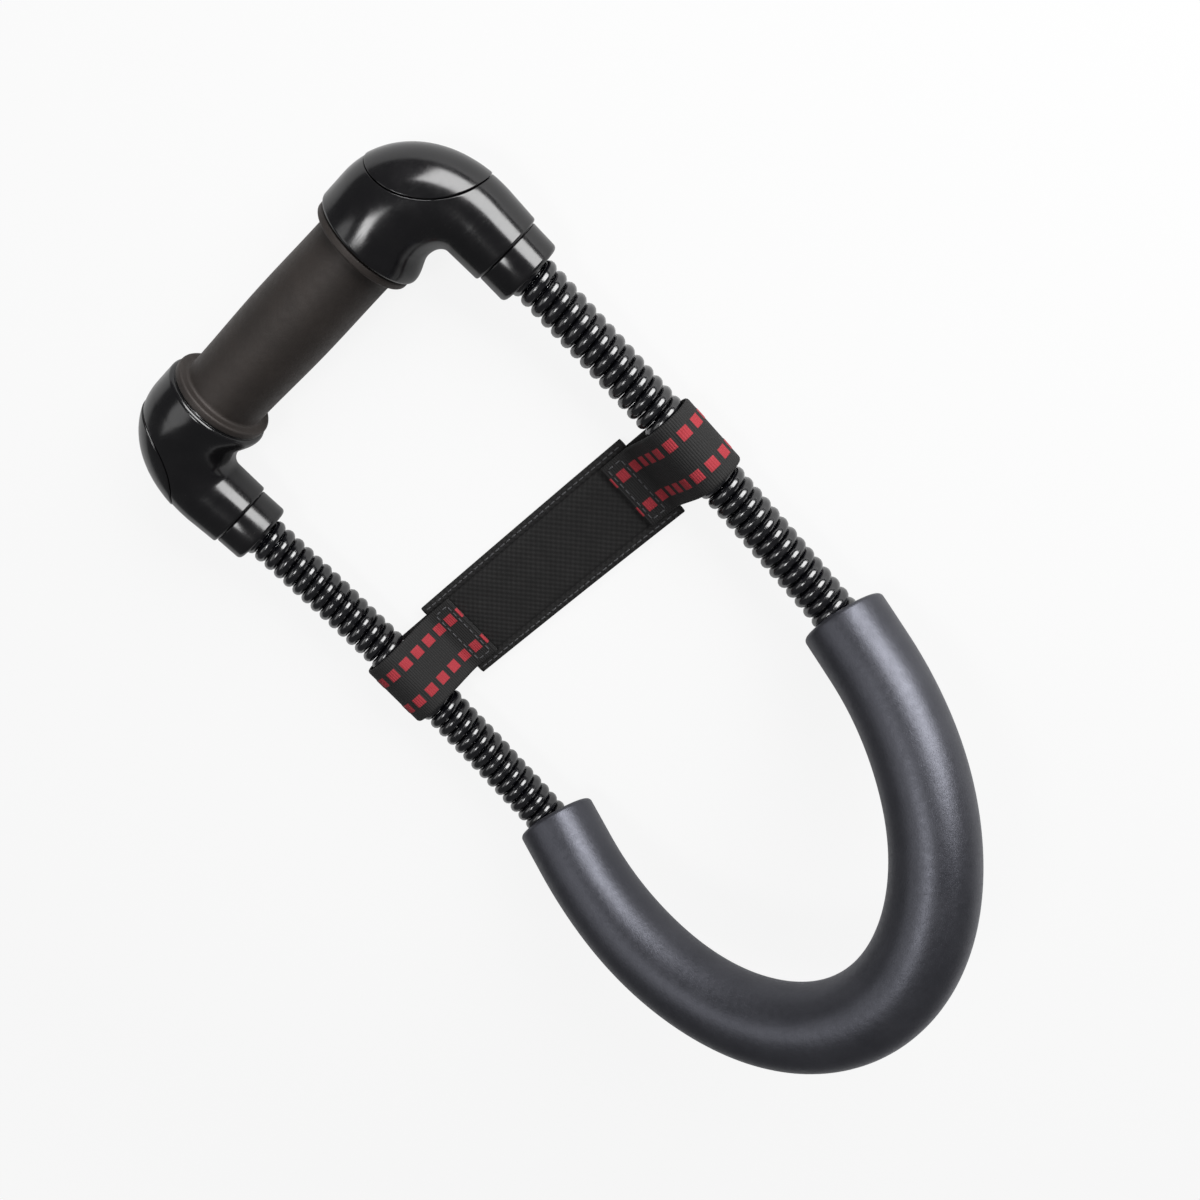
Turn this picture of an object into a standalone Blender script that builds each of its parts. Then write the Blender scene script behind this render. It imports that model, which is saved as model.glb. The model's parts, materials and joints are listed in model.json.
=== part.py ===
"""Wrist exerciser: a foam-covered U frame, two coil springs, a cross handle and a wrist strap.

The object lies on its back. X runs across it, +Y from the forearm frame to the handle, +Z up.
The springs are modelled in groups of coils. Each group hangs on an empty whose origin is the
hinge about which the group tips when the springs flex, so the empties form a chain from the
frame to the handle.
"""
import math

import bmesh
import bpy
from mathutils import Matrix, Vector

MM = 0.001

# Shared clearances
CLEARANCE = 0.3 * MM
MOUTH_OVERRUN = 6.0 * MM

# Springs
SPRING_SPACING = 142.0 * MM
SPRING_OD = 16.5 * MM
WIRE = 4.0 * MM
COIL_GAP = 0.5 * MM
COILS_PER_GROUP = 6
MIDDLE_GROUPS = 5
END_COILS_SHOWN = 8.5 * MM
COILS_IN_MOUTH = 1.5 * MM
COILS_IN_HANDLE = 14.0 * MM
REST_BEND = math.radians(2.0)
STEPS_PER_TURN = 10
WIRE_SIDES = 5

# Forearm frame
FRAME_PITCH = math.radians(24.0)
ARM_STRAIGHT = 17.0 * MM
BOW_DEPTH = 100.0 * MM
KNEE_TO_MOUTH = 12.0 * MM
KNEE_RADIUS = 24.0 * MM
TUBE_OD = 16.0 * MM
TUBE_WALL = 1.5 * MM
FOAM_OD = 31.0 * MM
BOW_STEPS = 24
KNEE_STEPS = 3
TUBE_SIDES = 12
FOAM_SIDES = 16

# Spring anchors in the frame and spring plugs in the elbows
ANCHOR_SEAT = 5.0 * MM
SPIGOT_CLEARANCE = 0.25 * MM
PLUG_OD = 12.0 * MM
PLUG_LENGTH = 14.0 * MM
PIN_OD = 3.0 * MM
PIN_SIDES = 10
TURNED_SIDES = 16

# Handle
COLLAR_TO_HANDLE = 43.0 * MM
ELBOW_BEND_RADIUS = 20.0 * MM
SLEEVE_END_OD = 26.2 * MM
SLEEVE_ROOT_OD = 27.0 * MM
ELBOW_RIM_OD = 38.0 * MM
RIM_FROM_SPRING = 30.5 * MM
RIM_ROUNDING = 1.5 * MM
COLLAR_OD = 24.0 * MM
COLLAR_LENGTH = 10.5 * MM
COLLAR_CHAMFER = 1.5 * MM
SEAM_RADIUS = 31.0 * MM
SEAM_OUT = 20.0 * MM
SEAM_BEYOND = 17.0 * MM
CAP_WALL = 2.2 * MM
HANDLE_TUBE_OD = 16.0 * MM
HANDLE_TUBE_WALL = 1.5 * MM
HANDLE_SOCKET = 14.0 * MM
INSERT_LENGTH = 16.0 * MM
BOLT_OD = 6.0 * MM
BOLT_HEAD_OD = 11.0 * MM
BOLT_HEAD_HEIGHT = 4.0 * MM
WASHER_OD = 12.5 * MM
WASHER_THICKNESS = 1.2 * MM
ELBOW_WEB = 7.5 * MM
BOLT_GRIP_LENGTH = 12.0 * MM
GRIP_OD = 30.0 * MM
GRIP_FLANGE_OD = 36.0 * MM
GRIP_FLANGE_WIDTH = 3.0 * MM
ELBOW_SIDES = 20
ELBOW_BEND_STEPS = 7
SEAM_SIDES = 32

# Wrist strap
STRAP_WIDTH = 27.0 * MM
STRAP_THICKNESS = 1.5 * MM
LOOP_SLACK = 0.9 * MM
BAND_WIDTH = 34.0 * MM
BAND_THICKNESS = 2.4 * MM
BAND_FROM_SPRING = 19.0 * MM
BAND_DROP = 7.8 * MM
BAND_SAG = 1.0 * MM
TAIL_LENGTH = 12.0 * MM
LOOP_STEPS = 12
BAND_STEPS = 10

# How the object rests
FOAM_SETTLES = 1.0 * MM
ELBOW_FLAT = 0.3 * MM
LEVELLING_ROUNDS = 4
EMPTY_SIZE = 10.0 * MM
SHARP_ANGLE = math.radians(40.0)

# Sizes that follow
HALF_SPACING = SPRING_SPACING / 2
SPRING_R = SPRING_OD / 2
COIL_R = SPRING_R - WIRE / 2
COIL_PITCH = WIRE + COIL_GAP
GROUP_LENGTH = COILS_PER_GROUP * COIL_PITCH
SPRING_BORE_R = SPRING_R + CLEARANCE
FOAM_BORE_R = max(SPRING_R, TUBE_OD / 2) + CLEARANCE
SPIGOT_R = SPRING_R - WIRE - SPIGOT_CLEARANCE
SPIGOT_CHAMFER = SPIGOT_R / 4
SOCKET_DEPTH = COILS_IN_HANDLE + WIRE / 2 + CLEARANCE
BOLT_HEAD_ROUNDING = BOLT_HEAD_HEIGHT / 4
LOOP_RADIUS = SPRING_R + LOOP_SLACK + STRAP_THICKNESS / 2
LOOP_LIFT = LOOP_SLACK - CLEARANCE
TUBE_END = -(COILS_IN_MOUTH + WIRE / 2 + CLEARANCE)
SIDES = {"left": -1, "right": 1}

GLOSS_BLACK = (0.012, 0.012, 0.014)
FOAM_BLACK = (0.035, 0.036, 0.04)
WEB_BLACK = (0.02, 0.02, 0.022)
STEEL = (0.55, 0.56, 0.58)


def clear_scene():
    for item in list(bpy.data.objects):
        bpy.data.objects.remove(item, do_unlink=True)


def make_material(name, colour, roughness, metallic=0.0):
    material = bpy.data.materials.new(name)
    material.use_nodes = True
    shader = material.node_tree.nodes["Principled BSDF"]
    shader.inputs["Base Color"].default_value = (*colour, 1.0)
    shader.inputs["Roughness"].default_value = roughness
    shader.inputs["Metallic"].default_value = metallic
    return material


def add_object(name, bm, parent, look=None, smooth=True):
    """Turn a bmesh into an object under its parent, with a material made from look."""
    bmesh.ops.recalc_face_normals(bm, faces=bm.faces)
    mesh = bpy.data.meshes.new(name)
    bm.to_mesh(mesh)
    bm.free()
    if smooth:
        mesh.shade_smooth()
        mesh.set_sharp_from_angle(angle=SHARP_ANGLE)
    item = bpy.data.objects.new(name, mesh)
    bpy.context.scene.collection.objects.link(item)
    item.parent = parent
    if look:
        colour, roughness, metallic = look
        mesh.materials.append(make_material(name, colour, roughness, metallic))
    return item


def add_empty(name, parent, location=(0, 0, 0), tilt=0.0):
    empty = bpy.data.objects.new(name, None)
    bpy.context.scene.collection.objects.link(empty)
    empty.parent = parent
    empty.location = location
    empty.rotation_euler = (tilt, 0, 0)
    empty.empty_display_size = EMPTY_SIZE
    return empty


def hide_cutter(item):
    item.hide_render = True
    item.display_type = 'WIRE'
    return item


def add_boolean(item, cutter, operation='DIFFERENCE'):
    modifier = item.modifiers.new(operation.lower() + " " + cutter.name, 'BOOLEAN')
    modifier.operation = operation
    modifier.solver = 'EXACT'
    modifier.object = cutter


def skin(rings, closed=False):
    """A bmesh through a row of rings: capped at both ends, or closed from the last to the first."""
    bm = bmesh.new()
    loops = [[bm.verts.new(point) for point in ring] for ring in rings]
    count = len(loops[0])
    pairs = list(zip(loops, loops[1:]))
    if closed:
        pairs.append((loops[-1], loops[0]))
    for first, second in pairs:
        for i in range(count):
            j = (i + 1) % count
            bm.faces.new((first[i], first[j], second[j], second[i]))
    if not closed:
        bm.faces.new(list(reversed(loops[0])))
        bm.faces.new(loops[-1])
    return bm


def turned(profile, sides=TURNED_SIDES, closed=False):
    """Turn (radius, distance along +Y) points about the Y axis; closed makes a hollow piece."""
    rings = []
    for radius, along in profile:
        ring = []
        for k in range(sides):
            angle = 2 * math.pi * (k + 0.5) / sides
            ring.append(Vector((radius * math.sin(angle), along, radius * math.cos(angle))))
        rings.append(ring)
    return skin(rings, closed)


def hollow(outer_r, inner_r, start, end, sides=TURNED_SIDES):
    """A plain bush along +Y from start to end."""
    return turned([(outer_r, start), (outer_r, end), (inner_r, end), (inner_r, start)], sides, closed=True)


def sweep_rings(path, radii, sides, up=Vector((0, 0, 1))):
    """Rings square to a path. The section turns as little as it can along the way."""
    rings = []
    normal = up.copy()
    for i, point in enumerate(path):
        before = path[max(i - 1, 0)]
        after = path[min(i + 1, len(path) - 1)]
        tangent = (after - before).normalized()
        normal = (normal - tangent * normal.dot(tangent)).normalized()
        side = tangent.cross(normal)
        ring = []
        for k in range(sides):
            angle = 2 * math.pi * (k + 0.5) / sides
            ring.append(point + radii[i] * (math.cos(angle) * normal + math.sin(angle) * side))
        rings.append(ring)
    return rings


def strip(path, thickness, width):
    """A flat band: a path in the XZ plane given a thickness, and its width along Y."""
    rows = []
    for i, (x, z) in enumerate(path):
        before = path[max(i - 1, 0)]
        after = path[min(i + 1, len(path) - 1)]
        along = Vector((after[0] - before[0], after[1] - before[1])).normalized()
        across = Vector((-along[1], along[0])) * thickness / 2
        row = []
        for edge, sign in ((-1, -1), (-1, 1), (1, 1), (1, -1)):
            row.append((x + sign * across[0], edge * width / 2, z + sign * across[1]))
        rows.append(row)
    return skin(rows)


# Forearm frame

def arm_axis(depth):
    """A point of the arm's axis, seen from the side, at a depth from the foam's end face."""
    mouth_to_face = -KNEE_TO_MOUTH + KNEE_TO_MOUTH * math.cos(FRAME_PITCH) ** 2
    face_drop = -KNEE_TO_MOUTH * math.cos(FRAME_PITCH) * math.sin(FRAME_PITCH)
    y = mouth_to_face - depth * math.cos(FRAME_PITCH)
    z = face_drop + depth * math.sin(FRAME_PITCH)
    return y, z


def bow_points():
    """The curved part of the U, from the left arm round to the right one."""
    points = []
    for i in range(BOW_STEPS + 1):
        angle = math.pi * (i / BOW_STEPS - 0.5)
        y, z = arm_axis(ARM_STRAIGHT + BOW_DEPTH * math.cos(angle))
        points.append(Vector((HALF_SPACING * math.sin(angle), y, z)))
    return points


def knee_points(x, mouth_y):
    """The tube from its mouth through the knee to the arm, along one side."""
    tangent_length = KNEE_RADIUS * math.tan(FRAME_PITCH / 2)
    arc_start = tangent_length - KNEE_TO_MOUTH
    points = [Vector((x, mouth_y, 0))]
    for i in range(KNEE_STEPS + 1):
        angle = FRAME_PITCH * i / KNEE_STEPS
        y = arc_start - KNEE_RADIUS * math.sin(angle)
        points.append(Vector((x, y, KNEE_RADIUS * (1 - math.cos(angle)))))
    return points


def tube_path(mouth_y):
    left = knee_points(-HALF_SPACING, mouth_y)
    right = knee_points(HALF_SPACING, mouth_y)
    return left + bow_points() + list(reversed(right))


def build_frame_tube(root):
    path = tube_path(TUBE_END)
    outer = sweep_rings(path, [TUBE_OD / 2] * len(path), TUBE_SIDES)
    inner = sweep_rings(path, [TUBE_OD / 2 - TUBE_WALL] * len(path), TUBE_SIDES)
    bm = skin(outer + list(reversed(inner)), closed=True)
    return add_object("frame_tube", bm, root, (STEEL, 0.35, 1.0))


def build_foam_sleeve(root):
    ends = []
    for x in (-HALF_SPACING, HALF_SPACING):
        y, z = arm_axis(0)
        ends.append(Vector((x, y, z)))
    path = [ends[0]] + bow_points() + [ends[1]]
    bm = skin(sweep_rings(path, [FOAM_OD / 2] * len(path), FOAM_SIDES))
    foam = add_object("foam_sleeve", bm, root, (FOAM_BLACK, 0.75, 0.0))
    bore_path = tube_path(MOUTH_OVERRUN)
    bore_bm = skin(sweep_rings(bore_path, [FOAM_BORE_R] * len(bore_path), TUBE_SIDES))
    bore = hide_cutter(add_object("foam_bore_cutter", bore_bm, root))
    add_boolean(foam, bore)
    return foam


def build_anchor(root, side, x):
    """A stepped plug: its seat in the tube's end, its spigot in the first coils."""
    seat_r = TUBE_OD / 2 - TUBE_WALL - CLEARANCE
    tip = END_COILS_SHOWN - CLEARANCE
    profile = [(seat_r, TUBE_END - ANCHOR_SEAT), (seat_r, TUBE_END), (SPIGOT_R, TUBE_END),
               (SPIGOT_R, tip - SPIGOT_CHAMFER), (SPIGOT_R - SPIGOT_CHAMFER, tip)]
    anchor = add_object(side + "_spring_anchor", turned(profile), root, (STEEL, 0.4, 1.0))
    anchor.location = (x, 0, 0)
    return anchor


# Springs

def coil_wire(name, first_turn, last_turn, parent, x):
    """Coils from one turn to another, counted from the hinge at the parent's origin.

    The wire is cut at the top of the spring, beside the hinge, with a clearance at its far end.
    """
    bm = bmesh.new()
    corners = []
    for k in range(WIRE_SIDES):
        angle = 2 * math.pi * k / WIRE_SIDES
        out = COIL_R + WIRE / 2 * math.cos(angle)
        corners.append(bm.verts.new((0, WIRE / 2 * math.sin(angle), out)))
    section = bm.faces.new(corners)
    place = Matrix.Translation((0, first_turn * COIL_PITCH, 0))
    place = place @ Matrix.Rotation(2 * math.pi * first_turn, 4, 'Y')
    bmesh.ops.transform(bm, matrix=place, verts=corners)
    turn = 2 * math.pi * (last_turn - first_turn) - CLEARANCE / COIL_R
    steps = max(3, round(STEPS_PER_TURN * turn / (2 * math.pi)))
    rise = COIL_PITCH * turn / (2 * math.pi) / steps
    bmesh.ops.spin(bm, geom=[section], cent=(0, 0, 0), axis=(0, 1, 0), dvec=(0, rise, 0),
                   angle=turn, steps=steps)
    coils = add_object(name, bm, parent, (GLOSS_BLACK, 0.25, 0.3))
    coils.location = (x, 0, -SPRING_R)
    return coils


def build_hinges(root):
    """The chain of empties: one hinge between each two groups of coils, tipped by the rest bend."""
    hinges = []
    parent = root
    place = (0, END_COILS_SHOWN, SPRING_R)
    for i in range(MIDDLE_GROUPS + 1):
        hinge = add_empty("flex_hinge_" + str(i + 1), parent, place, REST_BEND)
        hinges.append(hinge)
        parent = hinge
        place = (0, GROUP_LENGTH, 0)
    return hinges


def build_springs(root, hinges):
    first_length = COILS_IN_MOUTH + END_COILS_SHOWN
    last_length = END_COILS_SHOWN + COILS_IN_HANDLE
    mouth_seat = add_empty("first_coils_seat", root, (0, END_COILS_SHOWN, SPRING_R))
    for side, sign in SIDES.items():
        x = sign * HALF_SPACING
        coil_wire(side + "_spring_coils_1", -first_length / COIL_PITCH, 0, mouth_seat, x)
        for i in range(MIDDLE_GROUPS):
            name = side + "_spring_coils_" + str(i + 2)
            coil_wire(name, 0, COILS_PER_GROUP, hinges[i], x)
        name = side + "_spring_coils_" + str(MIDDLE_GROUPS + 2)
        coil_wire(name, 0, last_length / COIL_PITCH, hinges[-1], x)


# Handle. Its pieces are placed from collar_end, an empty on the springs' axes at the collars' faces.

def elbow_rings(inset):
    """Rings of the right elbow from its sleeve round the bend to the rim, made smaller by inset."""
    sleeve_start = COLLAR_LENGTH + CLEARANCE
    bend_start = COLLAR_TO_HANDLE - ELBOW_BEND_RADIUS
    path = [Vector((0, sleeve_start, 0)), Vector((0, bend_start, 0))]
    radii = [SLEEVE_END_OD / 2, SLEEVE_ROOT_OD / 2]
    growth = (ELBOW_RIM_OD - SLEEVE_ROOT_OD) / 2
    for i in range(1, ELBOW_BEND_STEPS + 1):
        share = i / ELBOW_BEND_STEPS
        angle = share * math.pi / 2
        x = -ELBOW_BEND_RADIUS * (1 - math.cos(angle))
        y = bend_start + ELBOW_BEND_RADIUS * math.sin(angle)
        path.append(Vector((x, y, 0)))
        radii.append(SLEEVE_ROOT_OD / 2 + growth * share * share * (3 - 2 * share))
    rim = RIM_FROM_SPRING
    path.append(Vector((-(rim - RIM_ROUNDING), COLLAR_TO_HANDLE, 0)))
    radii.append(ELBOW_RIM_OD / 2)
    path.append(Vector((-rim, COLLAR_TO_HANDLE, 0)))
    radii.append(ELBOW_RIM_OD / 2 - RIM_ROUNDING)
    return sweep_rings(path, [radius - inset for radius in radii], ELBOW_SIDES)


def mirrored(rings, sign):
    """The same rings for the left side, where X is turned round."""
    return [[Vector((sign * p.x, p.y, p.z)) for p in ring] for ring in rings]


def along_x(bm, start, sign):
    """Lay a piece turned about Y along X instead, pointing outwards from start."""
    turn = Matrix.Rotation(-sign * math.pi / 2, 4, 'Z')
    move = Matrix.Translation((sign * start, COLLAR_TO_HANDLE, 0))
    bmesh.ops.transform(bm, matrix=move @ turn, verts=bm.verts)
    return bm


def seam_post(radius, sign):
    """An upright post through the elbow's outer corner: the cap is what lies inside it."""
    height = ELBOW_RIM_OD
    post = turned([(radius, -height), (radius, height)], SEAM_SIDES)
    stand = Matrix.Rotation(math.pi / 2, 4, 'X')
    move = Matrix.Translation((sign * SEAM_OUT, COLLAR_TO_HANDLE + SEAM_BEYOND, 0))
    bmesh.ops.transform(post, matrix=move @ stand, verts=post.verts)
    return post


def handle_tube_end():
    """How far out the handle's tube reaches, from the middle of the object."""
    return HALF_SPACING - RIM_FROM_SPRING + HANDLE_SOCKET


def head_seat():
    """How far out the bolt's washer sits, from the middle of the object."""
    return handle_tube_end() + CLEARANCE + ELBOW_WEB


def build_elbow(side, sign, seat, collar_end):
    """The moulded elbow and its corner cap, from one outer form."""
    outer = mirrored(elbow_rings(0), sign)
    core = mirrored(elbow_rings(CAP_WALL + CLEARANCE), sign)
    lining = mirrored(elbow_rings(CAP_WALL), sign)

    body = add_object(side + "_elbow_body", skin(outer), seat, (GLOSS_BLACK, 0.15, 0.0))
    gap_cutter = add_object(side + "_seam_cutter", seam_post(SEAM_RADIUS + CLEARANCE, sign), seat)
    core_form = add_object(side + "_core_form", skin(core), seat)
    add_boolean(body, hide_cutter(gap_cutter))
    add_boolean(body, hide_cutter(core_form), 'UNION')

    plug_r = PLUG_OD / 2 + CLEARANCE
    plug_end = SOCKET_DEPTH + CLEARANCE + PLUG_LENGTH
    socket = turned([(SPRING_BORE_R, 0), (SPRING_BORE_R, SOCKET_DEPTH), (plug_r, SOCKET_DEPTH),
                     (plug_r, plug_end)])
    add_boolean(body, hide_cutter(add_object(side + "_spring_socket_cutter", socket, seat)))

    tube_r = HANDLE_TUBE_OD / 2 + CLEARANCE
    hole_r = BOLT_OD / 2 + CLEARANCE
    pocket_r = WASHER_OD / 2 + CLEARANCE
    inner_face = HALF_SPACING - RIM_FROM_SPRING - MOUTH_OVERRUN
    tube_stop = handle_tube_end() + CLEARANCE
    handle_bore = along_x(turned([(tube_r, inner_face), (tube_r, tube_stop), (hole_r, tube_stop),
                                  (hole_r, head_seat()), (pocket_r, head_seat()),
                                  (pocket_r, HALF_SPACING + ELBOW_RIM_OD)]), 0, sign)
    add_boolean(body, hide_cutter(add_object(side + "_handle_bore_cutter", handle_bore, collar_end)))

    pin_hole = pin_form(sign, PIN_OD / 2 + CLEARANCE, SLEEVE_ROOT_OD)
    add_boolean(body, hide_cutter(add_object(side + "_pin_hole_cutter", pin_hole, seat)))

    cap = add_object(side + "_corner_cap", skin(outer), seat, (GLOSS_BLACK, 0.1, 0.0))
    post = add_object(side + "_cap_form", seam_post(SEAM_RADIUS, sign), seat)
    lining_form = add_object(side + "_lining_cutter", skin(lining), seat)
    add_boolean(cap, hide_cutter(post), 'INTERSECT')
    add_boolean(cap, hide_cutter(lining_form))
    return body


def pin_position():
    return SOCKET_DEPTH + CLEARANCE + PLUG_LENGTH / 2


def pin_form(sign, radius, reach):
    """A pin across the sleeve, from its inner side to just past the plug."""
    inner_end = -reach / 2
    outer_end = PLUG_OD / 2
    bm = turned([(radius, inner_end), (radius, outer_end)], PIN_SIDES)
    turn = Matrix.Rotation(-sign * math.pi / 2, 4, 'Z')
    move = Matrix.Translation((0, pin_position(), 0))
    bmesh.ops.transform(bm, matrix=move @ turn, verts=bm.verts)
    return bm


def build_spring_end(side, sign, seat):
    """The collar ring, the plug in the spring's end and the pin that holds it."""
    collar_r = COLLAR_OD / 2
    profile = [(collar_r - COLLAR_CHAMFER, 0), (collar_r, COLLAR_CHAMFER), (collar_r, COLLAR_LENGTH),
               (SPRING_BORE_R, COLLAR_LENGTH), (SPRING_BORE_R, 0)]
    add_object(side + "_collar_ring", turned(profile, closed=True), seat, (GLOSS_BLACK, 0.15, 0.0))

    shoulder = SOCKET_DEPTH + CLEARANCE
    tip = CLEARANCE - END_COILS_SHOWN
    plug_r = PLUG_OD / 2
    profile = [(SPIGOT_R - SPIGOT_CHAMFER, tip), (SPIGOT_R, tip + SPIGOT_CHAMFER), (SPIGOT_R, shoulder),
               (plug_r, shoulder), (plug_r, shoulder + PLUG_LENGTH - CLEARANCE)]
    plug = add_object(side + "_spring_plug", turned(profile), seat, (STEEL, 0.4, 1.0))
    hole = pin_form(sign, PIN_OD / 2 + CLEARANCE, SLEEVE_ROOT_OD)
    add_boolean(plug, hide_cutter(add_object(side + "_plug_hole_cutter", hole, seat)))

    reach = SLEEVE_END_OD - 2 * CLEARANCE
    pin = pin_form(sign, PIN_OD / 2, reach)
    add_object(side + "_plug_pin", pin, seat, (STEEL, 0.4, 1.0))


def build_handle_core(collar_end):
    """The steel tube, its threaded inserts, and the bolts and washers that hold the elbows."""
    end = handle_tube_end()
    tube_r = HANDLE_TUBE_OD / 2
    tube = along_x(hollow(tube_r, tube_r - HANDLE_TUBE_WALL, -end, end), 0, 1)
    add_object("handle_tube", tube, collar_end, (STEEL, 0.35, 1.0))

    grip_r = GRIP_OD / 2
    flange_r = GRIP_FLANGE_OD / 2
    grip_end = HALF_SPACING - RIM_FROM_SPRING - CLEARANCE
    flange = grip_end - GRIP_FLANGE_WIDTH
    bore_r = tube_r + CLEARANCE
    grip = turned([(flange_r, -grip_end), (flange_r, -flange), (grip_r, -flange), (grip_r, flange),
                   (flange_r, flange), (flange_r, grip_end), (bore_r, grip_end), (bore_r, -grip_end)],
                  sides=ELBOW_SIDES, closed=True)
    add_object("handle_grip", along_x(grip, 0, 1), collar_end, (FOAM_BLACK, 0.8, 0.0))

    insert_r = tube_r - HANDLE_TUBE_WALL - CLEARANCE
    bolt_r = BOLT_OD / 2
    hole_r = bolt_r + CLEARANCE
    washer_top = head_seat() + CLEARANCE + WASHER_THICKNESS
    head_base = washer_top + CLEARANCE
    head_r = BOLT_HEAD_OD / 2
    bolt_tip = end - BOLT_GRIP_LENGTH
    for side, sign in SIDES.items():
        insert = hollow(insert_r, hole_r, end - INSERT_LENGTH, end)
        add_object(side + "_tube_insert", along_x(insert, 0, sign), collar_end, (STEEL, 0.4, 1.0))
        washer = hollow(WASHER_OD / 2, hole_r, head_seat() + CLEARANCE, washer_top)
        add_object(side + "_handle_washer", along_x(washer, 0, sign), collar_end, (STEEL, 0.3, 1.0))
        head_top = head_base + BOLT_HEAD_HEIGHT
        bolt = turned([(bolt_r, bolt_tip), (bolt_r, head_base), (head_r, head_base),
                       (head_r, head_top - BOLT_HEAD_ROUNDING),
                       (head_r - BOLT_HEAD_ROUNDING, head_top)])
        add_object(side + "_handle_bolt", along_x(bolt, 0, sign), collar_end, (STEEL, 0.3, 1.0))


def build_handle(last_hinge):
    collar_end = add_empty("collar_end", last_hinge, (0, END_COILS_SHOWN, -SPRING_R))
    bodies = []
    for side, sign in SIDES.items():
        seat = add_empty(side + "_collar_seat", collar_end, (sign * HALF_SPACING, 0, 0))
        bodies.append(build_elbow(side, sign, seat, collar_end))
        build_spring_end(side, sign, seat)
    build_handle_core(collar_end)
    return bodies


# Wrist strap. Heights are measured from the springs' axes. The loops' lower runs lie close under
# the springs and their slack is on top, where the flexed coils beside them rise.

def band_height(x):
    """The band's middle line: it hangs a little lower between its ends."""
    half = HALF_SPACING - BAND_FROM_SPRING
    return -BAND_DROP - BAND_SAG * (1 - (x / half) ** 2)


def loop_path(sign):
    """The webbing from on top of the band, over and round the spring, to below the band."""
    join_x = HALF_SPACING - BAND_FROM_SPRING
    stack = (BAND_THICKNESS + STRAP_THICKNESS) / 2 + CLEARANCE
    inner_x = join_x - TAIL_LENGTH
    top_tail = (inner_x, band_height(inner_x) + stack)
    top_join = (join_x, band_height(join_x) + stack)
    low_join = (join_x, band_height(join_x) - stack)
    low_tail = (inner_x, band_height(inner_x) - stack)
    top_angle = tangent_angle(top_join, 1)
    low_angle = tangent_angle(low_join, -1)
    path = [top_tail, top_join]
    for i in range(LOOP_STEPS + 1):
        angle = top_angle + (low_angle - top_angle) * i / LOOP_STEPS
        x = HALF_SPACING + LOOP_RADIUS * math.cos(angle)
        path.append((x, LOOP_LIFT + LOOP_RADIUS * math.sin(angle)))
    path += [low_join, low_tail]
    return [(sign * x, z) for x, z in path]


def tangent_angle(point, turn):
    """Where the webbing from a point meets the loop round the spring, on its upper or lower side."""
    dx = point[0] - HALF_SPACING
    dz = point[1] - LOOP_LIFT
    distance = math.hypot(dx, dz)
    towards = math.atan2(dz, dx)
    if towards > 0:
        towards -= 2 * math.pi
    opening = math.acos(LOOP_RADIUS / distance)
    if turn > 0:
        return towards + 2 * math.pi - opening
    return towards + opening


def build_strap(middle_hinge):
    slide = add_empty("strap_slide", middle_hinge, (0, GROUP_LENGTH / 2, -SPRING_R))
    half = HALF_SPACING - BAND_FROM_SPRING - CLEARANCE
    path = []
    for i in range(BAND_STEPS + 1):
        x = half * (2 * i / BAND_STEPS - 1)
        path.append((x, band_height(x)))
    band = strip(path, BAND_THICKNESS, BAND_WIDTH)
    add_object("wrist_band", band, slide, (WEB_BLACK, 0.85, 0.0))
    for side, sign in SIDES.items():
        loop = strip(loop_path(sign), STRAP_THICKNESS, STRAP_WIDTH)
        add_object(side + "_strap_loop", loop, slide, (WEB_BLACK, 0.8, 0.0))


# Laying the object on the table

def lowest(item):
    """The lowest corner of an object's own mesh, in world space."""
    return min((item.matrix_world @ vertex.co for vertex in item.data.vertices), key=lambda p: p.z)


def reach_along_y(items):
    values = [(item.matrix_world @ vertex.co).y for item in items for vertex in item.data.vertices]
    return min(values), max(values)


def lay_on_table(root, foam, elbows):
    """Tip and lift the whole chain until the foam's ends and the elbows settle on z = 0."""
    for _ in range(LEVELLING_ROUNDS):
        bpy.context.view_layer.update()
        foam_low = lowest(foam)
        elbow_low = lowest(elbows[1])
        rise = (elbow_low.z + ELBOW_FLAT) - (foam_low.z + FOAM_SETTLES)
        root.rotation_euler.x -= math.atan2(rise, elbow_low.y - foam_low.y)
    bpy.context.view_layer.update()
    root.location.z -= lowest(foam).z + FOAM_SETTLES
    near, far = reach_along_y([foam] + elbows)
    root.location.y -= (near + far) / 2
    bpy.context.view_layer.update()


def trim_at_table(items):
    """Flatten what has settled below z = 0."""
    bm = bmesh.new()
    bmesh.ops.create_cube(bm, size=1.0)
    bmesh.ops.translate(bm, vec=(0, 0, -0.5), verts=bm.verts)
    table = hide_cutter(add_object("table_cutter", bm, None, smooth=False))
    for item in items:
        add_boolean(item, table)


def build():
    clear_scene()
    root = add_empty("wrist_exerciser", None)
    build_frame_tube(root)
    foam = build_foam_sleeve(root)
    for side, sign in SIDES.items():
        build_anchor(root, side, sign * HALF_SPACING)
    hinges = build_hinges(root)
    build_springs(root, hinges)
    elbows = build_handle(hinges[-1])
    build_strap(hinges[MIDDLE_GROUPS // 2])
    lay_on_table(root, foam, elbows)
    trim_at_table([foam] + elbows)


build()
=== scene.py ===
# %% [markdown]
# # Dressing a wrist exerciser
# The object is a U-shaped forearm frame in black foam, two close-wound springs, two moulded elbows
# with a cross handle, and a webbing wrist strap. It lies on its back: X runs across it, +Y from the
# frame to the handle, +Z up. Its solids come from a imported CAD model, which says where everything
# sits and how the springs flex. This lesson builds the pieces that one sees around those solids.
# Lengths are written in millimetres and turned into Blender's metres with MM.

# %% Load the frame
import json
import math

import bmesh
import bpy
import numpy as np
from mathutils import Matrix, Vector


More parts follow.
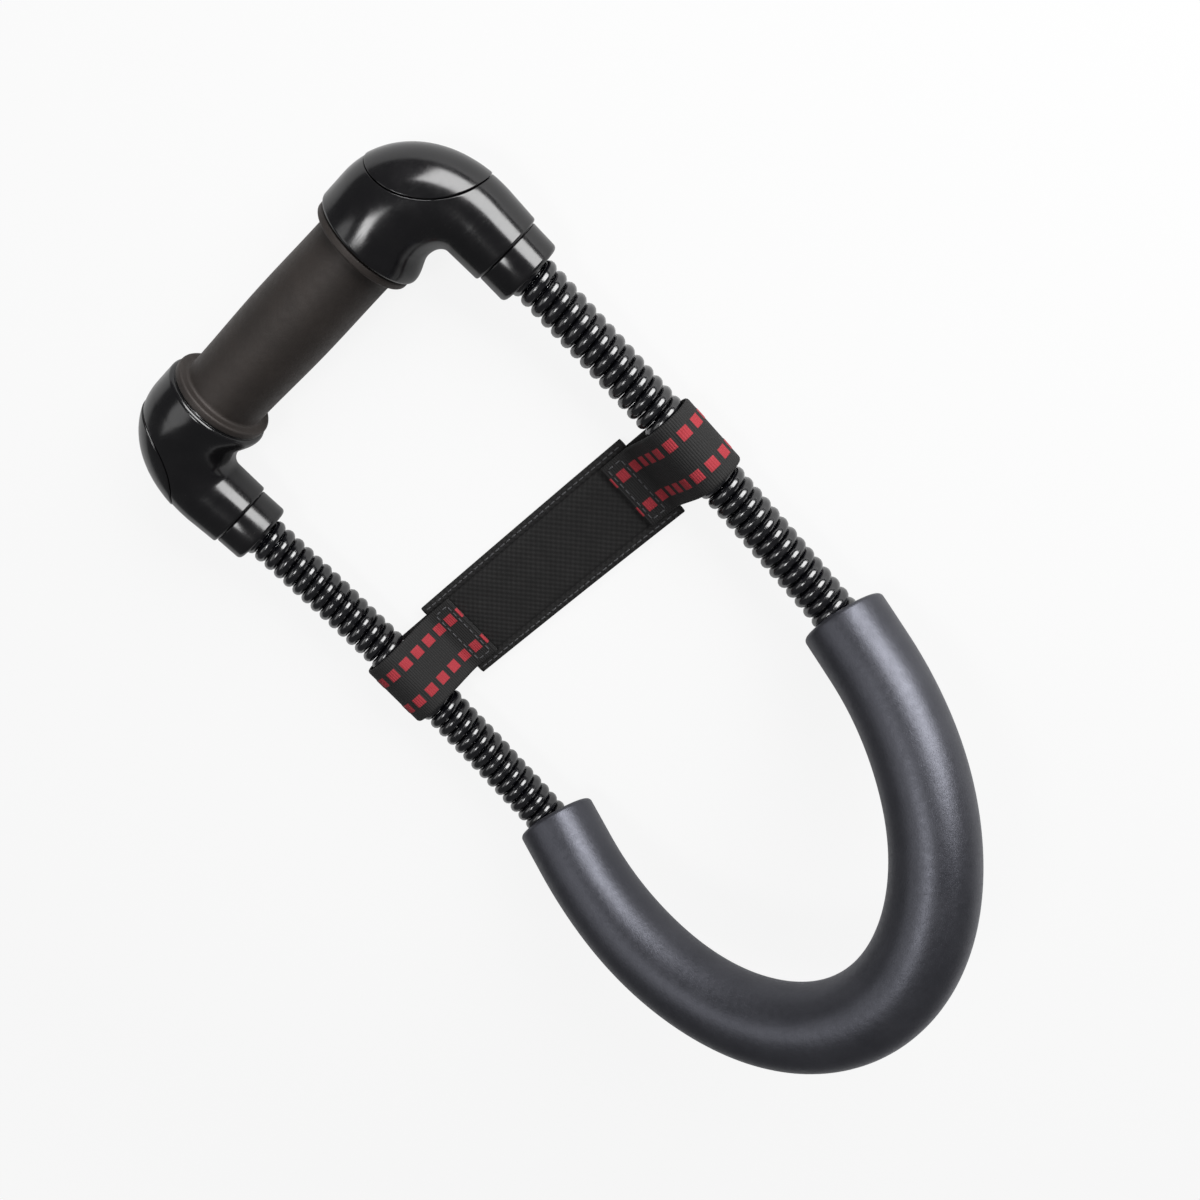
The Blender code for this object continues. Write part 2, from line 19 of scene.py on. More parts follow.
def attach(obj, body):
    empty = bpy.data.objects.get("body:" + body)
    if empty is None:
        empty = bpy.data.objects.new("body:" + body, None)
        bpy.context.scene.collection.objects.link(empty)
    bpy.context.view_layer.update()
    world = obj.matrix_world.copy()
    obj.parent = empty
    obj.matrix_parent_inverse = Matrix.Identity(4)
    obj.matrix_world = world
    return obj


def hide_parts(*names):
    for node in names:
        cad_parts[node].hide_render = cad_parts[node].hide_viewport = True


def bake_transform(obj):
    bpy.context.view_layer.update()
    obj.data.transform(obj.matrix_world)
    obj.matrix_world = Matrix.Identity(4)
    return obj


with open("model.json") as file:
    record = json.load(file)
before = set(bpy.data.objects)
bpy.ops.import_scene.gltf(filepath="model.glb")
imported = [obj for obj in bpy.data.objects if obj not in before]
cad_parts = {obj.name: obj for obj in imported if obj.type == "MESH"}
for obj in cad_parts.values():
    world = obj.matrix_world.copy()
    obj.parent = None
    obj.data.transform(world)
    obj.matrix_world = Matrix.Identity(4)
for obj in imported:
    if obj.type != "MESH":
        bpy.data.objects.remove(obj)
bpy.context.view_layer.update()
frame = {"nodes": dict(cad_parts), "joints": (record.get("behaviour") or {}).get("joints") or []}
MM = 0.001

# %% [markdown]
# ## The camera
# The photograph looks steeply down on the object, from beyond the handle and to its right, with the
# camera rolled so that the handle is at the top left. The place, aim and roll were fitted to the
# ends and edges of the object, so the camera is set from those numbers and not by eye.

# %% Camera
CAMERA_PLACE = Vector((196.0, 98.5, 407.0)) * MM
CAMERA_AIM = Vector((12.1, 8.8, 20.0)) * MM
CAMERA_ROLL = math.radians(-157.06)
CAMERA_LENS = 37.5
CAMERA_SENSOR = 36.0

camera = bpy.data.objects.new("camera", bpy.data.cameras.new("camera"))
camera.data.lens = CAMERA_LENS
camera.data.sensor_width = CAMERA_SENSOR
camera.data.clip_start = 10 * MM
aim = (CAMERA_AIM - CAMERA_PLACE).to_track_quat("-Z", "Y").to_matrix().to_4x4()
camera.matrix_world = Matrix.Translation(CAMERA_PLACE) @ aim @ Matrix.Rotation(CAMERA_ROLL, 4, "Z")
bpy.context.scene.collection.objects.link(camera)
bpy.context.scene.camera = camera
print("camera is", round((CAMERA_AIM - CAMERA_PLACE).length / MM), "mm from its aim")

# %% [markdown]
# ## Studio
# Glossy black shows its lights as shapes, so the lamps are chosen for their reflections. A long
# softbox low on the right draws the bright row along the springs, the patch on the elbow's corner
# and the satin band on the foam. A smaller one overhead adds the narrow highlight near the grip, a
# weak one behind softens the far side, and a dim world fills the rest. The floor is a large pale
# sheet. Light Path makes floor and world white to the camera, and adds only a little white to
# reflections. Near the object, part of the floor's own shading stays, which keeps the shadow.
# Further out the floor fades to the world's white, so that no horizon shows.

# %% Node helpers
def new_material(name):
    """An empty node material and its Principled shader."""
    material = bpy.data.materials.new(name)
    material.use_nodes = True
    return material, material.node_tree, material.node_tree.nodes["Principled BSDF"]


def set_input(tree, socket, value):
    """Link a socket to another node's output, or give it a plain value."""
    if isinstance(value, bpy.types.NodeSocket):
        tree.links.new(value, socket)
    else:
        socket.default_value = value


def finish_with(tree, shader, **sockets):
    """Link or set the shader's sockets, written with underscores for spaces."""
    for key, value in sockets.items():
        set_input(tree, shader.inputs[key.replace("_", " ")], value)


def add_node(tree, kind, inputs=(), **settings):
    """A shader node with its settings, and with its inputs linked or set."""
    made = tree.nodes.new(kind)
    for key, value in settings.items():
        setattr(made, key, value)
    for key, value in dict(inputs).items():
        set_input(tree, made.inputs[key], value)
    return made


def math_node(tree, operation, *values):
    """A sum, product or other result of sockets or numbers."""
    return add_node(tree, "ShaderNodeMath", enumerate(values), operation=operation).outputs[0]


def between(tree, value, low, high, from_low=0.0, from_high=1.0):
    """A value mapped from one range to another."""
    inputs = {"Value": value, "From Min": from_low, "From Max": from_high, "To Min": low, "To Max": high}
    return add_node(tree, "ShaderNodeMapRange", inputs).outputs["Result"]


# %% White for the camera
PLAIN_WHITE = {"Color": (1, 1, 1, 1), "Strength": 1.0}


def white_share(tree, seen_share, reflected_share):
    """How much white a ray meets: one share for camera and see-through rays, one for reflections."""
    path = add_node(tree, "ShaderNodeLightPath")
    seen = math_node(tree, "MAXIMUM", path.outputs["Is Camera Ray"], path.outputs["Is Transmission Ray"])
    reflected = math_node(tree, "MULTIPLY", path.outputs["Is Glossy Ray"], reflected_share)
    return math_node(tree, "ADD", math_node(tree, "MULTIPLY", seen, seen_share), reflected)


def whiten(tree, shaded, white_kind, share, output):
    """Mix a share of plain white into what a tree shows."""
    white = add_node(tree, white_kind, PLAIN_WHITE)
    mixed = add_node(tree, "ShaderNodeMixShader", {0: share, 1: shaded.outputs[0], 2: white.outputs[0]})
    tree.links.new(mixed.outputs[0], tree.nodes[output].inputs["Surface"])


# %% Floor
FLOOR_SIZE = 6.0
FLOOR_FADE = (0.35, 1.4)
FLOOR_COLOUR = (0.56, 0.56, 0.56, 1.0)
FLOOR_ROUGHNESS = 0.9
FLOOR_WHITE_SHARE = 0.88
FLOOR_REFLECTED_SHARE = 0.15


def pale_floor():
    """A pale sheet that fades to white over a range of distances, in metres from the object."""
    material, tree, shader = new_material("pale_floor")
    finish_with(tree, shader, Base_Color=FLOOR_COLOUR, Roughness=FLOOR_ROUGHNESS)
    place = add_node(tree, "ShaderNodeTexCoord").outputs["Object"]
    distance = add_node(tree, "ShaderNodeVectorMath", {0: place}, operation="LENGTH").outputs["Value"]
    seen_share = between(tree, distance, FLOOR_WHITE_SHARE, 1.0, *FLOOR_FADE)
    share = white_share(tree, seen_share, FLOOR_REFLECTED_SHARE)
    whiten(tree, shader, "ShaderNodeEmission", share, "Material Output")
    return material


bm = bmesh.new()
bmesh.ops.create_grid(bm, x_segments=1, y_segments=1, size=FLOOR_SIZE / 2)
floor = bpy.data.objects.new("floor", bpy.data.meshes.new("floor"))
bm.to_mesh(floor.data)
bm.free()
floor.data.materials.append(pale_floor())
bpy.context.scene.collection.objects.link(floor)
print("floor:", FLOOR_SIZE, "m wide")

# %% Lamps and world
WORLD_COLOUR = (0.93, 0.95, 1.0, 1.0)
WORLD_STRENGTH = 0.09
WORLD_REFLECTED_SHARE = 0.03
SOFTBOXES = {
    # name: place in metres, size in metres, power in watts
    "side_softbox": ((0.72, 0.17, 0.41), (0.80, 0.50), 12.2),
    "top_softbox": ((-0.10, 0.22, 0.87), (0.25, 0.25), 2.2),
    "far_softbox": ((-0.50, 0.55, 0.66), (0.60, 0.40), 1.0),
}


def build_softbox(name, place, size, power):
    """A rectangular lamp that looks at the object."""
    lamp = bpy.data.lights.new(name, "AREA")
    lamp.shape = "RECTANGLE"
    lamp.size, lamp.size_y = size
    lamp.energy = power
    item = bpy.data.objects.new(name, lamp)
    item.location = place
    item.rotation_euler = (-Vector(place)).to_track_quat("-Z", "Y").to_euler()
    bpy.context.scene.collection.objects.link(item)


def build_world():
    """A dim sky that the camera sees as white."""
    world = bpy.data.worlds.new("studio")
    world.use_nodes = True
    tree = world.node_tree
    dim = tree.nodes["Background"]
    finish_with(tree, dim, Color=WORLD_COLOUR, Strength=WORLD_STRENGTH)
    share = white_share(tree, 1.0, WORLD_REFLECTED_SHARE)
    whiten(tree, dim, "ShaderNodeBackground", share, "World Output")
    bpy.context.scene.world = world


build_world()
for name, (place, size, power) in SOFTBOXES.items():
    build_softbox(name, place, size, power)
bpy.context.scene.view_settings.view_transform = "Standard"
print("lamps:", ", ".join(SOFTBOXES))

# %% [markdown]
# ## From rings to a mesh
# Springs, foam, elbows and webbing are all long forms with a section that changes along the way.
# Each can be made as a stack of rings of points, joined to the next ring by quads. One function does
# that for every piece. Each vertex also keeps its place on the piece in an attribute called place,
# so that weave, pores and wear stay where they are on the surface when the springs flex.

# %% Rings
X_AXIS, Y_AXIS, Z_AXIS = np.eye(3)


def full_turn(count):
    """Angles spread evenly round a circle."""
    return 2 * math.pi * np.arange(count) / count


def spokes(angles, first, second):
    """Directions at angles from a first axis towards a second one."""
    return np.cos(angles)[:, None] * first + np.sin(angles)[:, None] * second


def smoothstep(t):
    """A soft rise from 0 to 1."""
    t = np.clip(t, 0.0, 1.0)
    return t * t * (3 - 2 * t)


def stack_faces(ring_count, side_count, closed=False):
    """Quads between neighbouring rings, and a cap at each end unless the stack closes on itself."""
    faces = []
    for r in range(ring_count if closed else ring_count - 1):
        first = r * side_count
        second = ((r + 1) % ring_count) * side_count
        for k in range(side_count):
            j = (k + 1) % side_count
            faces.append((first + k, first + j, second + j, second + k))
    if not closed:
        faces.append(tuple(reversed(range(side_count))))
        faces.append(tuple(range((ring_count - 1) * side_count, ring_count * side_count)))
    return faces


print("a stack of 3 rings of 8 points has", len(stack_faces(3, 8)), "faces")

# %% Meshes and attributes
def new_piece(name, points, faces):
    """A smooth-shaded object in the scene, with its normals outwards."""
    mesh = bpy.data.meshes.new(name)
    mesh.from_pydata([tuple(p) for p in points], [], faces)
    bm = bmesh.new()
    bm.from_mesh(mesh)
    bmesh.ops.recalc_face_normals(bm, faces=bm.faces)
    bm.to_mesh(mesh)
    bm.free()
    mesh.shade_smooth()
    piece = bpy.data.objects.new(name, mesh)
    bpy.context.scene.collection.objects.link(piece)
    return piece


def mesh_from_rings(name, rings, closed=False):
    """A piece through a stack of rings."""
    ring_count, side_count, _ = rings.shape
    return new_piece(name, rings.reshape(-1, 3), stack_faces(ring_count, side_count, closed))


def keep_places(piece, places):
    """Store a vector for each vertex, which the piece's material reads."""
    attribute = piece.data.attributes.new("place", "FLOAT_VECTOR", "POINT")
    attribute.data.foreach_set("vector", np.asarray(places, np.float32).ravel())


def set_normals(piece, normals):
    """Give each vertex its own normal, whatever its faces say."""
    piece.data.normals_split_custom_set_from_vertices([tuple(n) for n in normals])


# %% [markdown]
# ## How the springs run
# The CAD tips each group of six coils about a hinge at the top of the spring, so its springs are
# made of short straight lengths. The real ones bend smoothly. The joints in the record give the
# hinges, so the course of the springs is read from there: a frame at each hinge, turned a little
# more than the one before it.

# %% Frames along the springs
SPRING_R = 8.25 * MM
HALF_SPACING = 71.0 * MM
END_COILS_SHOWN = 8.5 * MM

hinges = [Vector(joint["pos_m"]) for joint in frame["joints"] if joint["type"] == "hinge"]
GROUP_LENGTH = (hinges[1] - hinges[0]).length
courses = [after - before for before, after in zip(hinges, hinges[1:])]
tilts = [math.atan2(course.z, course.y) for course in courses]
REST_BEND = tilts[1] - tilts[0]
tilts.append(tilts[-1] + REST_BEND)
tilts.insert(0, tilts[0] - REST_BEND)


def frame_at(tilt, anchor, offset):
    """A frame whose Y runs along the spring, placed so that the offset lies on the anchor."""
    turn = Matrix.Rotation(tilt, 4, "X")
    return Matrix.Translation(anchor) @ turn @ Matrix.Translation(-offset)


# The mouth frame has its origin between the springs' axes, where they enter the forearm frame. The
# collar frame has it at the springs' far end, and the strap frame halfway along them.
mouth_frame = frame_at(tilts[0], hinges[0], Vector((0, END_COILS_SHOWN, SPRING_R)))
collar_frame = frame_at(tilts[-1], hinges[-1], Vector((0, -END_COILS_SHOWN, SPRING_R)))
strap_frame = frame_at(tilts[3], hinges[2], Vector((0, -GROUP_LENGTH / 2, SPRING_R)))
print("rest bend of each hinge, degrees:", round(math.degrees(REST_BEND), 2))

# %% [markdown]
# ## Springs
# Each spring is one close-wound coil of enamelled wire. A curve with a screw modifier could make it,
# but it has to flex with the six hinges, and a blend works across one joint at a time. So the wire is
# swept in code, in six stretches that meet in the middle of each group of coils. Inside a stretch the
# coils turn smoothly about the hinge, by its bend at rest. The vertices at the meeting rings are the
# same in both stretches, and the normals are set from the wire's own round section, so that no seam
# shows.

# %% Spring wire
WIRE_R = 2.2 * MM
COIL_R = SPRING_R - WIRE_R
COIL_PITCH = 4.5 * MM
WIRE_SIDES = 14
WIRE_ANGLES = full_turn(WIRE_SIDES)


def wire_section(along):
    """Points and normals of the wire's section where its centre is at a distance along the spring."""
    turn = 2 * math.pi * (along - END_COILS_SHOWN) / COIL_PITCH
    out = np.array((math.sin(turn), 0.0, math.cos(turn)))
    course = np.array((math.cos(turn), COIL_PITCH / (2 * math.pi * COIL_R), -math.sin(turn)))
    course /= np.linalg.norm(course)
    normals = spokes(WIRE_ANGLES, out, np.cross(course, out))
    centre = COIL_R * out + along * Y_AXIS
    return centre + WIRE_R * normals, normals


def hinge_along(index):
    """How far along the spring a hinge stands."""
    return END_COILS_SHOWN + index * GROUP_LENGTH


def bend_at_hinge(points, normals, index, start, end):
    """Turn points about one hinge, by a share of the rest bend that grows along the spring."""
    angle = REST_BEND * smoothstep((points[:, 1] - start) / (end - start)) + tilts[index]
    cos, sin = np.cos(angle), np.sin(angle)

    def turned(x, y, z):
        return np.stack([x, cos * y - sin * z, sin * y + cos * z], axis=1)

    moved = turned(points[:, 0], points[:, 1] - hinge_along(index), points[:, 2] - SPRING_R)
    return moved + np.array(hinges[index]), turned(*normals.T)


print("wire:", round(2 * WIRE_R / MM, 1), "mm thick, in coils", round(2 * SPRING_R / MM, 1), "mm wide")

# %% Spring stretches
STEPS_PER_TURN = 36
COILS_IN_MOUTH = 1.5 * MM
COILS_IN_HANDLE = 14.0 * MM
FIRST_BEND_START = 1.0 * MM
BLEND_MARGIN = WIRE_R + 0.2 * MM
SPRING_END = END_COILS_SHOWN * 2 + (len(hinges) - 1) * GROUP_LENGTH
SIDES = {"left": -1, "right": 1}


def spring_stretch(side, sign, index):
    """One stretch of coils about one hinge, from mid-group to mid-group."""
    first = index == 0
    last = index == len(hinges) - 1
    low = -COILS_IN_MOUTH if first else hinge_along(index) - GROUP_LENGTH / 2
    high = SPRING_END + COILS_IN_HANDLE if last else hinge_along(index) + GROUP_LENGTH / 2
    start = FIRST_BEND_START if first else low + BLEND_MARGIN
    end = SPRING_END if last else high - BLEND_MARGIN
    steps = round((high - low) / COIL_PITCH * STEPS_PER_TURN)
    points, normals, places = [], [], []
    for i in range(steps + 1):
        along = low + (high - low) * i / steps
        section, outward = wire_section(along)
        points.append(section)
        normals.append(outward)
        length = along / COIL_PITCH * 2 * math.pi * COIL_R
        places += [(length / MM, WIRE_R * a / MM, math.cos(a)) for a in WIRE_ANGLES]
    bent, bent_normals = bend_at_hinge(np.concatenate(points), np.concatenate(normals), index, start, end)
    bent[:, 0] += sign * HALF_SPACING
    name = side + "_spring_stretch_" + str(index + 1)
    piece = mesh_from_rings(name, bent.reshape(steps + 1, WIRE_SIDES, 3))
    keep_places(piece, places)
    set_normals(piece, bent_normals)
    axis = np.array([[sign * HALF_SPACING, start, 0.0], [sign * HALF_SPACING, end, 0.0]])
    ends, _ = bend_at_hinge(axis, np.zeros((2, 3)), index, start, end)
    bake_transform(piece)
    coils = side + "_spring_coils_"
    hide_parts(coils + str(index + 1), coils + str(index + 2))
    return piece


spring_pieces = [spring_stretch(side, sign, i) for side, sign in SIDES.items() for i in range(len(hinges))]
print("spring stretches:", len(spring_pieces), "with",
      sum(len(piece.data.vertices) for piece in spring_pieces), "vertices")

# %% [markdown]
# ## What the materials share
# Every finish here is procedural. A noise or weave is read from the vertex attribute place, goes
# through a Bump node for relief and a colour ramp for variation, and ends in one Principled shader.
# A value that is the same all over is set on the shader's own socket.

# %% Material helpers
def place_node(tree, scale=(1, 1, 1)):
    """The place on the piece, in millimetres, stretched by a scale."""
    source = add_node(tree, "ShaderNodeAttribute", attribute_name="place")
    inputs = {"Vector": source.outputs["Vector"], "Scale": scale}
    return add_node(tree, "ShaderNodeMapping", inputs).outputs["Vector"]


def split_place(tree):
    """The three numbers of the place on the piece, each on its own."""
    return add_node(tree, "ShaderNodeSeparateXYZ", {0: place_node(tree)}).outputs[:]


def noise(tree, place, scale, detail=3.0, roughness=0.55):
    inputs = {"Vector": place, "Scale": scale, "Detail": detail, "Roughness": roughness}
    return add_node(tree, "ShaderNodeTexNoise", inputs).outputs["Fac"]


def ramp(tree, value, low, high):
    """A value from 0 to 1 turned into a range of colours."""
    made = add_node(tree, "ShaderNodeValToRGB", {"Fac": value})
    made.color_ramp.elements[0].color = low
    made.color_ramp.elements[1].color = high
    return made.outputs["Color"]


def bump(tree, height, distance, strength=1.0, below=None):
    """Relief of a given depth in metres, on top of another relief if there is one."""
    inputs = {"Height": height, "Distance": distance, "Strength": strength}
    if below is not None:
        inputs["Normal"] = below
    return add_node(tree, "ShaderNodeBump", inputs).outputs["Normal"]


# %% [markdown]
# ## Enamel on the wire
# Black enamel on spring wire is glossy, with a slight orange-peel ripple. Where neighbouring coils
# rub, the crests go a little duller and greyer. The third number of the place holds how far a point
# faces outwards, which a noise breaks up into rubbed patches.

# %% Spring enamel
ALONG_WIRE = (1, 1, 0)  # leaves the third number out


def spring_enamel():
    material, tree, shader = new_material("spring_enamel")
    _, _, outward = split_place(tree)
    crest = between(tree, outward, 0.0, 1.0, 0.55, 1.0)
    patches = between(tree, noise(tree, place_node(tree, ALONG_WIRE), 0.35), 0.0, 1.0, 0.45, 0.7)
    rubbed = math_node(tree, "MULTIPLY", crest, patches)
    colour = ramp(tree, rubbed, (0.002, 0.002, 0.003, 1), (0.010, 0.010, 0.011, 1))
    ripple = noise(tree, place_node(tree, ALONG_WIRE), 1.4, 2.0)
    gloss = between(tree, math_node(tree, "ADD", ripple, rubbed), 0.12, 0.30, 0.2, 1.7)
    normal = bump(tree, ripple, 0.03 * MM, 0.6)
    finish_with(tree, shader, Base_Color=colour, Roughness=gloss, Normal=normal,
                IOR=1.6, Coat_Weight=0.8, Coat_Roughness=0.08)
    return material


enamel = spring_enamel()
for piece in spring_pieces:
    piece.data.materials.append(enamel)
print("enamel has", len(enamel.node_tree.nodes), "nodes")

# %% [markdown]
# ## Foam sleeve
# A closed-cell foam tube is pushed over the bent steel one. It is thick and holds its round section,
# so there is nothing for a cloth simulation to drape: it is modelled as rings along the U, with soft
# lips at the cut ends, a slow unevenness in its skin, and a flat spot where it rests. The spring
# runs into each end face a little off its middle, because the steel tube bends just inside.

# %% Rings along the arms and the bow
FRAME_PITCH = math.radians(24.0)
ARM_STRAIGHT = 17.0 * MM
BOW_DEPTH = 100.0 * MM
BOW_STEPS = 130
KNEE_TO_MOUTH = 12.0 * MM
FOAM_SIDES = 72
ARM_IN = np.array((0.0, -math.cos(FRAME_PITCH), math.sin(FRAME_PITCH)))
ARM_UP = np.array((0.0, math.sin(FRAME_PITCH), math.cos(FRAME_PITCH)))


def arm_axis(depth):
    """A point of the arm's axis, seen from the side, at a depth from the foam's end face."""
    y = -KNEE_TO_MOUTH + KNEE_TO_MOUTH * math.cos(FRAME_PITCH) ** 2 - depth * math.cos(FRAME_PITCH)
    z = -KNEE_TO_MOUTH * math.cos(FRAME_PITCH) * math.sin(FRAME_PITCH) + depth * math.sin(FRAME_PITCH)
    return y, z


def ring_at(centre, course, radius, up=ARM_UP):
    """A round section square to its course. Its first point is on the up side."""
    side = np.cross(course / np.linalg.norm(course), up)
    return centre + radius * spokes(full_turn(FOAM_SIDES), up, side)


def arm_ring(sign, depth, radius):
    """A section of an arm's straight part, at a depth from the foam's end face."""
    return ring_at(np.array((sign * HALF_SPACING, *arm_axis(depth))), -sign * ARM_IN, radius)


def bow_ring(step, radius):
    """A section of the bow, half an ellipse from the left arm to the right one."""
    angle = math.pi * (step / BOW_STEPS - 0.5)
    y, z = arm_axis(ARM_STRAIGHT + BOW_DEPTH * math.cos(angle))
    course = HALF_SPACING * math.cos(angle) * X_AXIS - BOW_DEPTH * math.sin(angle) * ARM_IN
    return ring_at(np.array((HALF_SPACING * math.sin(angle), y, z)), course, radius)


print("the bow reaches", round((ARM_STRAIGHT + BOW_DEPTH) / MM), "mm from the foam's end faces")

# %% Foam, outside
FOAM_R = 15.5 * MM
FOAM_LIP = 1.6 * MM
FOAM_LIP_STEPS = 6
STRAIGHT_STEPS = 9


def lip_profile(radius, rounding, steps):
    """Radius and depth round a lip, from the face inwards. A bore has a rounding below zero."""
    turns = [math.pi / 2 * i / steps for i in range(steps + 1)]
    return [(radius - rounding * (1 - math.sin(a)), abs(rounding) * (1 - math.cos(a))) for a in turns]


def foam_outside():
    """Rings over the outside: the left end's lip, along the U, and the right end's lip."""
    profile = lip_profile(FOAM_R, FOAM_LIP, FOAM_LIP_STEPS)
    for i in range(1, STRAIGHT_STEPS):
        profile.append((FOAM_R, FOAM_LIP + (ARM_STRAIGHT - FOAM_LIP) * i / STRAIGHT_STEPS))
    left, right = [[arm_ring(sign, depth, radius) for radius, depth in profile] for sign in (-1, 1)]
    return left + [bow_ring(i, FOAM_R) for i in range(BOW_STEPS + 1)] + right[::-1]


outside = foam_outside()
print("rings over the outside:", len(outside))

# %% Foam, bore
FOAM_BORE_R = 8.55 * MM
BORE_LIP = 0.6 * MM
BORE_LIP_STEPS = 3
KNEE_RADIUS = 24.0 * MM
KNEE_STEPS = 4


def hole_ring(sign, radius, depth):
    """The mouth of the bore: a cylinder round the spring's axis, cut by a plane at a depth."""
    y, z = arm_axis(depth)
    xs = sign * radius * np.sin(full_turn(FOAM_SIDES))
    zs = radius * np.cos(full_turn(FOAM_SIDES))
    ys = y + (zs - z) * math.tan(FRAME_PITCH)
    return np.stack([sign * HALF_SPACING + xs, ys, zs], axis=1)


def knee_ring(sign, share):
    """A ring of the bore round the knee, from the spring's direction to the arm's."""
    angle = FRAME_PITCH * share
    start = KNEE_RADIUS * math.tan(FRAME_PITCH / 2) - KNEE_TO_MOUTH
    centre = np.array((sign * HALF_SPACING, start - KNEE_RADIUS * math.sin(angle),
                       KNEE_RADIUS * (1 - math.cos(angle))))
    course = np.array((0.0, -math.cos(angle), math.sin(angle)))
    up = np.array((0.0, math.sin(angle), math.cos(angle)))
    return ring_at(centre, -sign * course, FOAM_BORE_R, up)


def bore_end(sign):
    """Rings from the hole in an end face, round the knee, to the arm."""
    lip = lip_profile(FOAM_BORE_R, -BORE_LIP, BORE_LIP_STEPS)
    knee = [knee_ring(sign, i / KNEE_STEPS) for i in range(KNEE_STEPS + 1)]
    return [hole_ring(sign, radius, depth) for radius, depth in lip] + knee


bow_bore = [bow_ring(i, FOAM_BORE_R) for i in range(BOW_STEPS, -1, -2)]
bore = bore_end(1) + bow_bore + bore_end(-1)[::-1]
print("rings down the bore:", len(bore))

# %% Build the foam
UNEVENNESS = 0.10 * MM
SHORT_WAVE = 9 * MM
LONG_WAVE = 23 * MM
WAVE_SHIFT = 1.3
LONG_WAVE_SHARE = 0.6
END_FADE = 12 * MM


def placed(points, matrix):
    """Points moved from a frame of their own into the scene."""
    m = np.array(matrix)
    return np.asarray(points, float) @ m[:3, :3].T + m[:3, 3]


def piece_in_frame(name, rings, matrix, places=None, closed=False):
    """A piece from rings in a frame of their own. Without other places it keeps them, in millimetres."""
    rings = np.asarray(rings, float)
    points = rings.reshape(-1, 3)
    piece = mesh_from_rings(name, placed(points, matrix).reshape(rings.shape), closed)
    keep_places(piece, points / MM if places is None else places)
    return piece


def uneven(rings):
    """The outside pulled in a little here and there, except at its two ends."""
    middle = rings.mean(axis=1, keepdims=True)
    along = np.zeros(len(rings))
    along[1:] = np.cumsum(np.linalg.norm(np.diff(middle[:, 0], axis=0), axis=1))
    around = full_turn(FOAM_SIDES)
    wave = np.sin(along[:, None] / SHORT_WAVE + WAVE_SHIFT * np.sin(2 * around)[None, :])
    wave = wave + LONG_WAVE_SHARE * np.sin(along[:, None] / LONG_WAVE - 3 * around[None, :])
    outward = rings - middle
    outward /= np.linalg.norm(outward, axis=2, keepdims=True)
    fade = smoothstep(np.minimum(along, along[-1] - along) / END_FADE)
    depth = UNEVENNESS * (1 + LONG_WAVE_SHARE - wave) * fade[:, None] / 2
    return rings - outward * depth[..., None]


foam_rings = np.concatenate([uneven(np.array(outside)), bore])
foam = piece_in_frame("foam_cover", foam_rings, mouth_frame, closed=True)
print("foam cover:", len(foam.data.vertices), "vertices")

SETTLE_BLEND = 0.6 * MM


def settle_on_table(piece):
    """Flatten what would sink below the table, with a soft edge. Returns which vertices are low."""
    points = np.zeros((len(piece.data.vertices), 3))
    piece.data.vertices.foreach_get("co", points.ravel())
    low = points[:, 2] < SETTLE_BLEND
    share = points[low, 2] / SETTLE_BLEND
    points[low, 2] = SETTLE_BLEND * np.where(share > -1, (share + 1) ** 2 / 4, 0.0)
    piece.data.vertices.foreach_set("co", points.astype(np.float32).ravel())
    piece.data.update()
    return low


flattened = settle_on_table(foam)
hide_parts("foam_sleeve")
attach(foam, "frame")
print("vertices in the foam's flat spot:", int(flattened.sum()))

# %% [markdown]
# ## Foam skin
# The foam is charcoal with a satin skin: in grazing light it turns blue-grey, and close up it has
# fine pores. A tint on the reflection and on a weak sheen gives the blue-grey. A Voronoi texture
# presses the pores in, and two noises add slow dimples and a fine grain.

# %% Foam materials
CHARCOAL = ((0.009, 0.009, 0.0105, 1), (0.018, 0.018, 0.0205, 1))
BLUE_GREY = (0.84, 0.86, 1.0, 1)


def foam_skin(name, colours, tint, roughness, specular):
    """Foam between two close colours, with a tinted skin, a range of roughness and a specular level."""
    material, tree, shader = new_material(name)
    place = place_node(tree)
    cloudy = noise(tree, place, 0.06, 4.0)
    colour = ramp(tree, between(tree, cloudy, 0.0, 1.0, 0.3, 0.7), *colours)
    pores = add_node(tree, "ShaderNodeTexVoronoi", {"Vector": place, "Scale": 2.6, "Randomness": 1.0})
    pits = between(tree, pores.outputs["Distance"], 0.0, 1.0, 0.0, 0.35)
    grain = noise(tree, place, 5.0, 3.0, 0.6)
    dimples = noise(tree, place, 0.42, 3.0, 0.6)
    normal = bump(tree, dimples, 0.16 * MM, 0.5)
    normal = bump(tree, pits, 0.05 * MM, 0.5, normal)
    normal = bump(tree, grain, 0.05 * MM, 0.5, normal)
    gloss = between(tree, math_node(tree, "ADD", grain, dimples), *roughness, 0.7, 1.3)
    finish_with(tree, shader, Base_Color=colour, Roughness=gloss, Normal=normal,
                Sheen_Weight=0.05, Sheen_Roughness=0.45, Sheen_Tint=tint,
                Specular_IOR_Level=specular, Specular_Tint=tint)
    return material


foam.data.materials.append(foam_skin("charcoal_foam", CHARCOAL, BLUE_GREY, (0.33, 0.45), 0.9))
print("foam skin:", foam.data.materials[0].name)

# %% [markdown]
# ## Elbows
# Each elbow is a moulded plastic bend from a narrow sleeve on the spring to a wide rim at the handle.
# Its outer corner is a separate cap that stands slightly proud, and the seam between them shows as a
# fine dark line with a small notch in the outline. Boolean cuts leave thin triangles that spoil the
# gloss. So the form is swept once from a formula, cut along circles round an upright axis, and every
# new vertex goes back onto the formula. Then the vertices beside the seam sink in a rounded edge.

